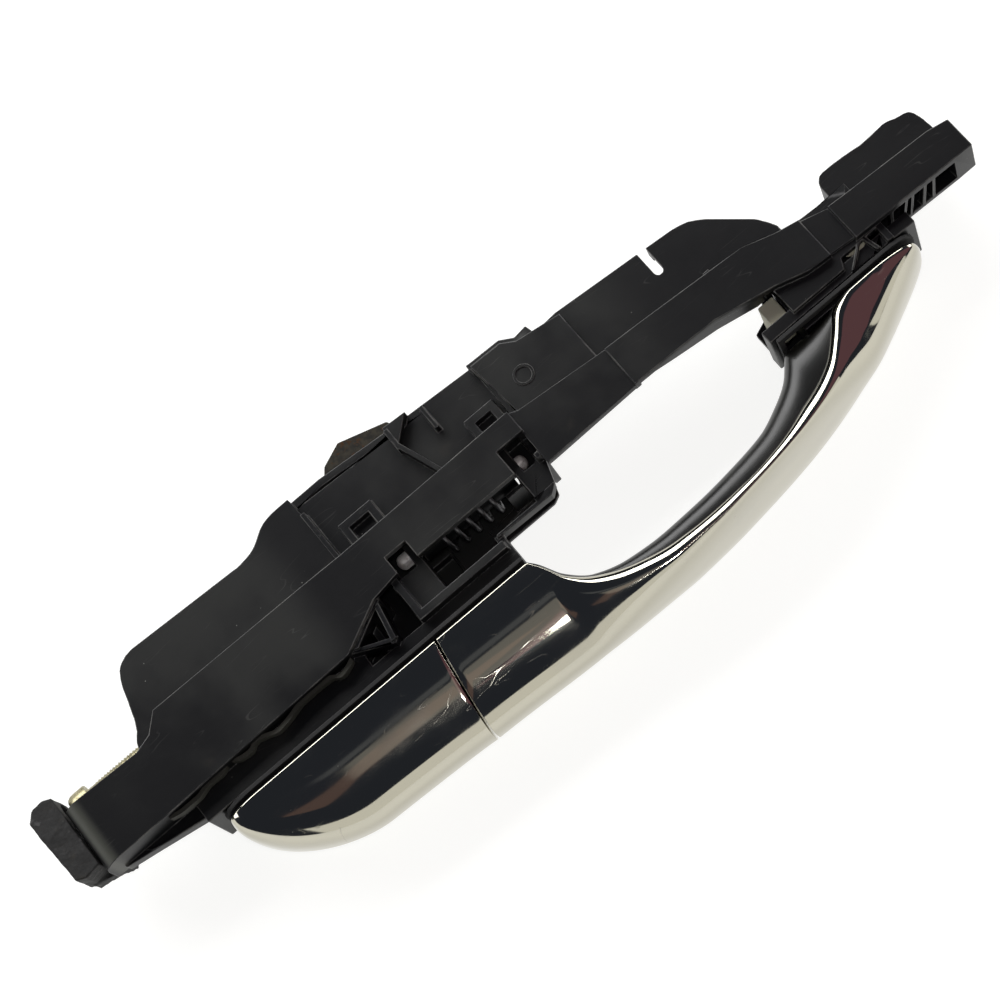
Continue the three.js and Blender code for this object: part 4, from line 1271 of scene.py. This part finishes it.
@dataclass
class Screw:
    """A star-drive screw with a rolled thread, pointing away from its head."""

    name: str
    at: Point
    axis: Axis
    head_radius: float
    head_height: float
    radius: float
    length: float
    pitch: float
    finish: Finish

    def _profile(self) -> list[tuple[float, float]]:
        """Radius and distance from the face of the head to the point."""
        r, h, head = self.radius, self.head_height, self.head_radius
        return [
            (0.0, 0.0), (head * 0.72, 0.0), (head * 0.86, h * 0.06), (head * 0.97, h * 0.22),
            (head, h * 0.42), (head, h * 0.94), (head * 0.96, h), (r * 1.08, h), (r * 0.9, h * 1.08),
            (r * 0.9, self.length - 1.2), (r * 0.45, self.length), (0.0, self.length)]

    def _thread(self) -> bpy.types.Object:
        """The thread, a fine ridge wound round the shank."""
        start, end = self.head_height * 1.5, self.length - 1.0
        turn = Vector((0, 0, 1)).rotation_difference(Vector(self.axis.value)).to_matrix()
        steps_per_turn = 18
        count = int((end - start) / self.pitch * steps_per_turn)
        points = []
        for i in range(count + 1):
            angle = 2 * math.pi * i / steps_per_turn
            along = start + (end - start) * i / count
            run_out = min(1.0, i / steps_per_turn, (count - i) / steps_per_turn)
            r = self.radius * (0.84 + 0.06 * run_out)
            local = Vector((r * math.cos(angle), r * math.sin(angle), along))
            points.append(tuple(turn @ local + Vector(self.at)))
        return WirePath(f"{self.name}_thread", points, self.pitch * 0.3, self.finish, 6).build()

    def build(self) -> bpy.types.Object:
        """Turns the blank, sinks the star and joins the thread.

        Returns:
            The screw.
        """
        blank = turned(self.name, self._profile(), self.at, self.axis, 36)
        star = []
        for k in range(3):
            half, thick, deep = self.head_radius * 0.52, self.head_radius * 0.15, self.head_height * 0.5
            tool = box((-half, -thick, -deep), (half, thick, deep))
            turn = Vector((0, 0, 1)).rotation_difference(Vector(self.axis.value)).to_matrix().to_4x4()
            place = Matrix.Translation(Vector(self.at) * MM) @ turn @ Matrix.Rotation(k * math.pi / 3, 4, "Z")
            tool.data.transform(place)
            star.append(tool)
        combine(blank, star, Cut.AWAY)
        thread = self._thread()
        bm = bmesh.new()
        bm.from_mesh(blank.data)
        bm.from_mesh(thread.data)
        bm.to_mesh(blank.data)
        bm.free()
        bpy.data.objects.remove(thread)
        return dress(shade(blank, 42.0), self.finish)


@dataclass
class Carrier:
    """The fixed black moulding with its gaskets, pins, end block, nut and bumper."""

    edge_radius: float = 0.32
    least_edge: float = 0.27
    ribbon_top: float = 15.0
    rear_end_x: float = -106.0
    rear_end_round: float = 5.5
    rib: SmoothLine = SmoothLine((
        (-84, 7.0), (-80, 6.2), (-75, 6.2), (-70, 7.3), (-66.2, 7.2), (-62.6, 8.4), (-59.6, 6.9),
        (-56.3, 6.6), (-53.6, 7.9), (-50.7, 7.2), (-47, 6.0), (-43.5, 6.5), (-37.2, 7.9), (-31.1, 8.0),
        (-27.8, 7.8), (-25, 6.3), (-22.4, 6.9), (-20.2, 7.9)))
    rib_levels: tuple[float, float] = (10.2, 13.0)
    rib_thickness: float = 1.15
    rib_step: float = 0.8
    bead_radius: float = 0.2
    bead_paths: tuple[tuple[str, tuple[Point, ...]], ...] = (
        ("rear_lip_edge", (
            (-94.4, 9.0, 6.05), (-95.2, 8.0, 6.05), (-95.1, 6.7, 6.05), (-93.8, 5.6, 6.05), (-91, 4.9, 6.05),
            (-84.5, 3.8, 6.05), (-77.4, 2.7, 6.05))),
    )
    pin_dome: float = 0.75
    hinge_pin: tuple[float, float, float, float, float] = (152.0, 9.0, -13.0, 11.6, 2.5)
    lever_pin: tuple[float, float, float, float, float] = (22.0, 5.0, 4.6, 49.4, 2.2)
    lock_pin: tuple[float, float, float, float, float] = (-2.0, 47.0, -12.6, 4.3, 1.8)

    def _rounded_end(self) -> bpy.types.Object:
        """A tool that rounds the flange's rear end down."""
        r, x, top = self.rear_end_round, self.rear_end_x, self.ribbon_top
        outline = [(x - 2, top + 2), (x - 2, top - r), (x, top - r)]
        outline += [(x + r * (1 - math.cos(a)), top - r + r * math.sin(a))
                    for a in (math.radians(6 * k) for k in range(1, 16))]
        outline += [(x + r, top + 2)]
        return prism("rear_end_tool", outline, "y", -20.0, 60.0)

    def scalloped_rib(self) -> None:
        """The dusty rib that winds along under the flange's street edge."""
        low, high = self.rib_levels
        half = self.rib_thickness / 2
        first, last = self.rib.points[0][0], self.rib.points[-1][0]
        count = int((last - first) / self.rib_step)
        xs = [first + (last - first) * k / count for k in range(count + 1)]
        outline = [(x, self.rib(x) - half) for x in xs] + [(x, self.rib(x) + half) for x in reversed(xs)]
        made = prism("scalloped_rib", outline, "z", low, high)
        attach(dress(shade(made, 50.0), DUSTY), Body.CARRIER.value)

    def beads(self) -> None:
        """The thin pale bead that outlines the rear lip: rubbed wear and a painted highlight line."""
        for name, points in self.bead_paths:
            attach(WirePath(name, points, self.bead_radius, RUBBED_AND_HIGHLIGHT, 8).build(), Body.CARRIER.value)

    def moulding(self) -> bpy.types.Object:
        """The main moulding, with its rounded rear end and eased edges."""
        made = merged_copy("carrier_frame", "carrier_moulding", least=self.least_edge)
        combine(made, [self._rounded_end()], Cut.AWAY)
        ease_edges(made, self.edge_radius)
        shade(made, 50.0, weighted=True)
        return hang(dress(made, NYLON, RUBBED_AND_HIGHLIGHT), Body.CARRIER, "carrier_frame")

    def _pin(self, name: str, foot: Point, axis: Axis, length: float, radius: float,
             finish: Finish = STEEL) -> bpy.types.Object:
        """A straight pin with a domed end at either side.

        Args:
            name: the pin's name.
            foot: where it starts.
            axis: which way it points.
            length: how long it is.
            radius: its radius.
            finish: its finish.

        Returns:
            The pin.
        """
        dome = [(radius * math.sin(math.radians(a)), radius * self.pin_dome * (1 - math.cos(math.radians(a))))
                for a in range(0, 91, 15)]
        top = [(r, length - z) for r, z in reversed(dome)]
        made = turned(name, dome + top, foot, axis, 44)
        return dress(shade(made, 60.0), finish)

    def pins(self) -> None:
        """The hinge pin, the lever pin and the lock pin."""
        x, y, low, high, r = self.hinge_pin
        hang(self._pin("hinge_pin_steel", (x, y, low), Axis.Z, high - low, r), Body.CARRIER, "hinge_pin")
        y, z, low, high, r = self.lever_pin
        # the lever pin is painted pale as a highlight on its ends
        lever_pin = self._pin("lever_pin_steel", (low, y, z), Axis.X, high - low, r, PALE_PIN_HIGHLIGHT)
        hang(lever_pin, Body.CARRIER, "lever_pin")
        x, y, low, high, r = self.lock_pin
        hang(self._pin("lock_pin_steel", (x, y, low), Axis.Z, high - low, r), Body.CARRIER, "inertia_pin")

    def end_block(self) -> bpy.types.Object:
        """The torn foam block on the rear end."""
        made = merged_copy("end_seal_block", "end_foam_block")
        change = made.modifiers.new("cells", "REMESH")
        change.mode = "VOXEL"
        change.voxel_size = 0.42 * MM
        settle(made)
        centre = sum((v.co for v in made.data.vertices), Vector()) / len(made.data.vertices)
        for vertex in made.data.vertices:
            place = vertex.co / MM
            rough = noise.fractal(place * 0.22, 0.9, 2.1, 4) * 0.5 + noise.noise(place * 1.9) * 0.08
            inward = (centre - vertex.co).normalized()
            vertex.co += inward * MM * (0.1 + rough * 0.5)
        return hang(dress(shade(made, 75.0), FOAM), Body.CARRIER, "end_seal_block")

    def small_pieces(self) -> None:
        """Gaskets, captive nut and lever bumper."""
        for node, name in (("rear_gasket", "rear_skin_gasket"), ("front_gasket", "front_skin_gasket")):
            hang(dress(eased_node(node, name, 0.3), RUBBER), Body.CARRIER, node)
        nut = dress(eased_node("front_captive_nut", "captive_nut", 0.3), GREY_ZINC)
        hang(nut, Body.CARRIER, "front_captive_nut")
        bumper = dress(eased_node("lever_bumper", "lever_stop_bumper", 0.5), RUBBER)
        hang(bumper, Body.CARRIER, "lever_bumper")

    def build(self) -> None:
        """Builds and dresses every fixed piece but the cap."""
        self.moulding()
        self.pins()
        self.end_block()
        self.small_pieces()
        self.scalloped_rib()
        self.beads()


@dataclass
class Cap:
    """The fixed plated cap with its base, clamp and screw."""

    form: HandleForm = field(default_factory=lambda: FORM)
    shank_x: tuple[float, float] = (-44.0, -31.0)
    shank_z: tuple[float, float] = (-6.0, 6.0)
    shank_y: float = 18.0

    def shell(self) -> bpy.types.Object:
        """The plated cap."""
        form = self.form
        stations = [(x, x > form.cap_tip + 4, 0.0) for x in form.towards_tip(form.cap_tip, -34.0, 44)]
        stations += [(x, True, 0.0) for x in np.linspace(-34.0, -2.4, 24)[1:]]
        stations += form.joint_stations(-1)
        rings = [form.plated_ring(x, -1, hollow, inset) for x, hollow, inset in stations]
        made = skin("cap_shell_plated", rings, True)
        return hang(dress(shade(made), CHROME), Body.CARRIER, "cap_shell")

    def base(self) -> bpy.types.Object:
        """The black base plate with the shank that the clamp grips."""
        form = self.form
        stations = form.towards_tip(form.cap_tip, -34.0, 36) + list(np.linspace(-34.0, 0.0, 20)[1:])
        rings = [form.black_ring(x, -1) for x in stations]
        made = skin("cap_base_plate", rings, False)
        (x0, x1), (z0, z1) = self.shank_x, self.shank_z
        shank = box((x0, form.base_y - 1.0, z0), (x1, self.shank_y, z1))
        combine(shank, [box((x0 - 1, 10, z0 - 1), (x0 + 3, 14, z1 + 1))], Cut.AWAY)
        combine(made, [shank], Cut.ONTO)
        return hang(dress(shade(made), SATIN), Body.CARRIER, "cap_base")

    def build(self) -> None:
        """Builds and dresses the cap's pieces."""
        self.shell()
        self.base()
        hang(dress(eased_node("cap_clamp", "cap_wedge_clamp", 0.4), GREY_ZINC), Body.CARRIER, "cap_clamp")
        screw = Screw("cap_clamp_screw", (-104.6, 29.0, 3.7), Axis.X, 4.0, 6.0, 2.5, 50.0, 1.0, YELLOW_ZINC)
        hang(screw.build(), Body.CARRIER, "cap_screw")


@dataclass
class Grip:
    """The moving grip: plated shell, black shell, two arms, bushes, wear pad and screws."""

    form: HandleForm = field(default_factory=lambda: FORM)
    screw_x: tuple[float, float] = (26.5, 146.0)

    def _stations(self) -> list[float]:
        """Stations from the joint to the front tip, closer where the hand gap turns."""
        return (list(np.linspace(2.4, 30.0, 18)) + list(np.linspace(30.0, 46.0, 30)[1:])
                + list(np.linspace(46.0, 118.0, 56)[1:]) + list(np.linspace(118.0, 141.0, 24)[1:])
                + self.form.towards_tip(self.form.grip_tip, 141.0, 34)[-2::-1])

    def outer(self) -> bpy.types.Object:
        """The plated shell."""
        form = self.form
        stations = form.joint_stations(1)[::-1]
        stations += [(x, x < form.grip_tip - 5, 0.0) for x in self._stations()]
        rings = [form.plated_ring(x, 1, hollow, inset) for x, hollow, inset in stations]
        made = skin("grip_shell_plated", rings, True)
        return hang(dress(shade(made), CHROME), Body.GRIP, "grip_outer_shell")

    def inner(self) -> bpy.types.Object:
        """The black shell behind it, with seats for the two arms."""
        form = self.form
        rings = [form.black_ring(x, 1) for x in [0.0, 0.8, 1.6] + self._stations()]
        made = skin("grip_shell_black", rings, False)
        seats = [
            box((7.2, form.base_y - 1.0, -14.2), (21.3, 5.0, -7.1)),
            box((127.2, form.base_y - 1.0, -9.3), (142.0, 5.0, 9.3)),
        ]
        combine(made, seats, Cut.AWAY)
        bores = [turned("bore", [(3.5, 0.0), (3.5, 8.0)], (x, form.base_y - 2.7, 0.0), Axis.Y, 28)
                 for x in self.screw_x]
        combine(made, bores, Cut.AWAY)
        return hang(dress(shade(made), SATIN), Body.GRIP, "grip_inner_shell")

    def build(self) -> None:
        """Builds and dresses the grip's pieces."""
        self.outer()
        self.inner()
        for node, name in (("grip_pull_arm", "pull_arm_moulding"), ("grip_hinge_arm", "hinge_arm_moulding")):
            hang(dress(eased_node(node, name, 0.3), NYLON, RUBBED_AND_HIGHLIGHT), Body.GRIP, node)
        wear_pad = dress(eased_node("hinge_wear_pad", "wear_pad_nylon", 0.5), PALE_NYLON)
        hang(wear_pad, Body.GRIP, "hinge_wear_pad")
        for end in ("upper", "lower"):
            node = f"hinge_bush_{end}"
            hang(dress(eased_node(node, f"{node}_nylon", 0.15), PALE_NYLON), Body.GRIP, node)
        for end, x in zip(("rear", "front"), self.screw_x):
            at = (x, self.form.base_y - 0.3, 0.0)
            screw = Screw(f"shell_screw_{end}", at, Axis.MINUS_Y, 3.1, 2.0, 1.6, 9.0, 0.7, GREY_ZINC)
            hang(screw.build(), Body.GRIP, f"grip_screw_{end}")


@dataclass
class Coil:
    """A spring wound along an axis with a straight leg at each end."""

    name: str
    centre: Point
    along: Axis
    radius: float
    span: tuple[float, float]
    turns: float
    leg: float
    wire: float
    steps_per_turn: int = 40

    def path(self) -> list[Point]:
        """Points along the wire, leg to leg."""
        count = int(self.turns * self.steps_per_turn)
        low, high = self.span
        found = []
        for step in range(-6, count + 7):
            wound = min(1.0, max(0.0, step / count))
            past = (min(0, step) + max(0, step - count)) / 6 * self.leg
            angle = wound * self.turns * 2 * math.pi
            a = self.radius * math.cos(angle) - past * math.sin(angle)
            b = self.radius * math.sin(angle) + past * math.cos(angle)
            level = low + (high - low) * wound
            x, y, z = self.centre
            if self.along is Axis.X:
                found.append((x + level, y + a, z + b))
            else:
                found.append((x - b, y + a, z + level))
        return found

    def build(self) -> bpy.types.Object:
        """Lays the wire along the coil."""
        return dress(WirePath(self.name, self.path(), self.wire, SPRING, 12).build(), SPRING)


@dataclass
class Lever:
    """The bell crank that turns the grip's pull into a pull on the latch rod, with its spring."""

    pin: tuple[float, float] = (22.0, 5.0)

    def build(self) -> None:
        """Builds and dresses the lever, its spring and the rod clip."""
        crank = dress(eased_node("bell_crank_lever", "bell_crank_moulding", 0.35), LEVER_NYLON, RUBBED_AND_HIGHLIGHT)
        hang(crank, Body.LEVER, "bell_crank_lever")
        hang(dress(eased_node("rod_clip", "rod_clip_nylon", 0.2), PALE_NYLON), Body.LEVER, "rod_clip")
        spring = Coil("lever_spring_wire", (0.0, *self.pin), Axis.X, 6.4, (17.5, 37.5), 5, 5.0, 0.7)
        hang(spring.build(), Body.CARRIER, "lever_spring")


@dataclass
class Lock:
    """The swinging weight that blocks the lever in a side impact, with its spring."""

    pin: tuple[float, float] = (-2.0, 47.0)

    def build(self) -> None:
        """Builds and dresses the weight and its spring."""
        weight = dress(eased_node("inertia_lock", "inertia_lock_weight", 0.4), BLACKENED_ZINC)
        hang(weight, Body.LOCK, "inertia_lock")
        spring = Coil("lock_spring_wire", (*self.pin, 0.0), Axis.Z, 3.2, (-9.0, -3.9), 4, 2.2, 0.4)
        hang(spring.build(), Body.CARRIER, "inertia_spring")


# ------------------------------------------------------------------ studio


@dataclass(frozen=True)
class SoftLight:
    """A soft rectangular light."""

    name: str
    at: Point
    target: Point
    size: tuple[float, float]
    radiance: float
    colour: Colour = (1.0, 1.0, 1.0)

    def build(self) -> None:
        """Hangs the light, in metres, with the brightness of its face given."""
        data = bpy.data.lights.new(self.name, "AREA")
        data.shape = "RECTANGLE"
        data.size, data.size_y = self.size
        data.energy = self.radiance * math.pi * self.size[0] * self.size[1]
        data.color = self.colour
        made = bpy.data.objects.new(self.name, data)
        bpy.context.scene.collection.objects.link(made)
        aim = Vector(self.target) - Vector(self.at)
        made.location = self.at
        made.rotation_euler = aim.to_track_quat("-Z", "Y").to_euler()


@dataclass
class Studio:
    """Pale floor, soft lights, dim room and the camera."""

    floor_size: float = 4.0
    floor_drop: float = 0.6
    floor_colour: Colour = (0.30, 0.30, 0.295)
    floor_glow: float = 0.86
    room: Colour = (0.026, 0.030, 0.042)
    camera_at: Point = (0.0369, -0.2606, 0.7701)
    camera_right: Point = (0.7627, -0.6078, -0.2212)
    camera_up: Point = (0.6468, 0.7167, 0.2608)
    camera_back: Point = (0.0, -0.3420, 0.9397)
    lens: float = 109.44
    lights: tuple[SoftLight, ...] = (
        SoftLight("door_side_softbox", (0.05, 1.05, 0.75), (0.04, 0.0, 0.0), (1.9, 0.7), 6.5),
        SoftLight("front_softbox", (1.35, 0.25, 0.45), (0.04, 0.0, 0.0), (0.8, 0.5), 4.5),
        SoftLight("rear_softbox", (-1.25, 0.75, 0.40), (0.04, 0.0, 0.0), (0.8, 0.45), 3.0),
        SoftLight("camera_lamp", (0.05, -0.23, 0.80), (0.04, 0.0, 0.0), (0.07, 0.07), 60.0),
        SoftLight("overhead_strip", (0.02, -0.10, 1.15), (0.02, 0.0, 0.0),
                  (0.36, 0.28), 0.19, (1.0, 0.95, 0.88)),
        SoftLight("warm_rear_card", (-0.225, -0.22, 1.15), (0.0, 0.0, 0.0),
                  (0.15, 0.5), 0.10, (1.0, 0.56, 0.40)),
        SoftLight("red_front_card", (0.72, -0.28, 0.95), (0.1, 0.0, 0.0),
                  (0.9, 1.7), 0.13, (1.0, 0.36, 0.42)),
        SoftLight("narrow_strip", (0.02, 0.10, 1.15), (0.02, 0.0, 0.0),
                  (0.42, 0.06), 0.08, (0.9, 0.93, 1.0)),
        SoftLight("street_side_fill", (0.05, -1.6, 0.42), (0.04, 0.0, 0.0),
                  (2.6, 1.0), 0.95, (1.0, 0.985, 0.92)),
    )

    def floor(self) -> None:
        """Lays the floor just under the part."""
        level = CAD_BOX[0].z - self.floor_drop * MM
        mesh = bpy.data.meshes.new("pale_floor")
        half = self.floor_size / 2
        mesh.from_pydata(
            [(-half, -half, level), (half, -half, level), (half, half, level), (-half, half, level)], [],
            [(0, 1, 2, 3)])
        made = new_object("pale_floor", mesh)
        material = bpy.data.materials.new("pale_floor")
        sheet = FinishSheet(material)
        tone = sheet.tint(sheet.clouds(60.0, 3.0) * 0.3, self.floor_colour, (0.27, 0.27, 0.26))
        sheet.surface(
            tone, 0.85, sheet.relief(sheet.clouds(1.0, 2.0), 0.01),
            {"Specular IOR Level": 0.2, "Emission Strength": self.floor_glow,
             "Emission Color": (1.0, 1.0, 0.985, 1.0)})
        made.data.materials.append(material)

    def camera(self) -> None:
        """Sets the camera at the working angle."""
        data = bpy.data.cameras.new("studio_camera")
        data.lens = self.lens
        data.sensor_width = 36.0
        data.clip_start, data.clip_end = 0.01, 20.0
        made = bpy.data.objects.new("studio_camera", data)
        bpy.context.scene.collection.objects.link(made)
        turn = Matrix((self.camera_right, self.camera_up, self.camera_back)).transposed().to_4x4()
        made.matrix_world = Matrix.Translation(self.camera_at) @ turn
        bpy.context.scene.camera = made

    def world(self) -> None:
        """Fills the room round the lights with a dim even tone."""
        world = bpy.data.worlds.new("dim_room")
        world.use_nodes = True
        world.node_tree.nodes["Background"].inputs["Color"].default_value = (*self.room, 1.0)
        world.node_tree.nodes["Background"].inputs["Strength"].default_value = 1.0
        bpy.context.scene.world = world
        bpy.context.scene.view_settings.view_transform = "Standard"

    def build(self) -> None:
        """Builds the whole studio."""
        self.camera()
        self.world()
        self.floor()
        for light in self.lights:
            light.build()


def main() -> None:
    """Builds the studio and every sub-assembly in order."""
    logging.basicConfig(level=logging.INFO, format="%(name)s: %(message)s")
    for assembly in (Studio(), Carrier(), Cap(), Grip(), Lever(), Lock()):
        assembly.build()
        log.info("%s built", type(assembly).__name__)


if __name__ == "__main__":
    main()
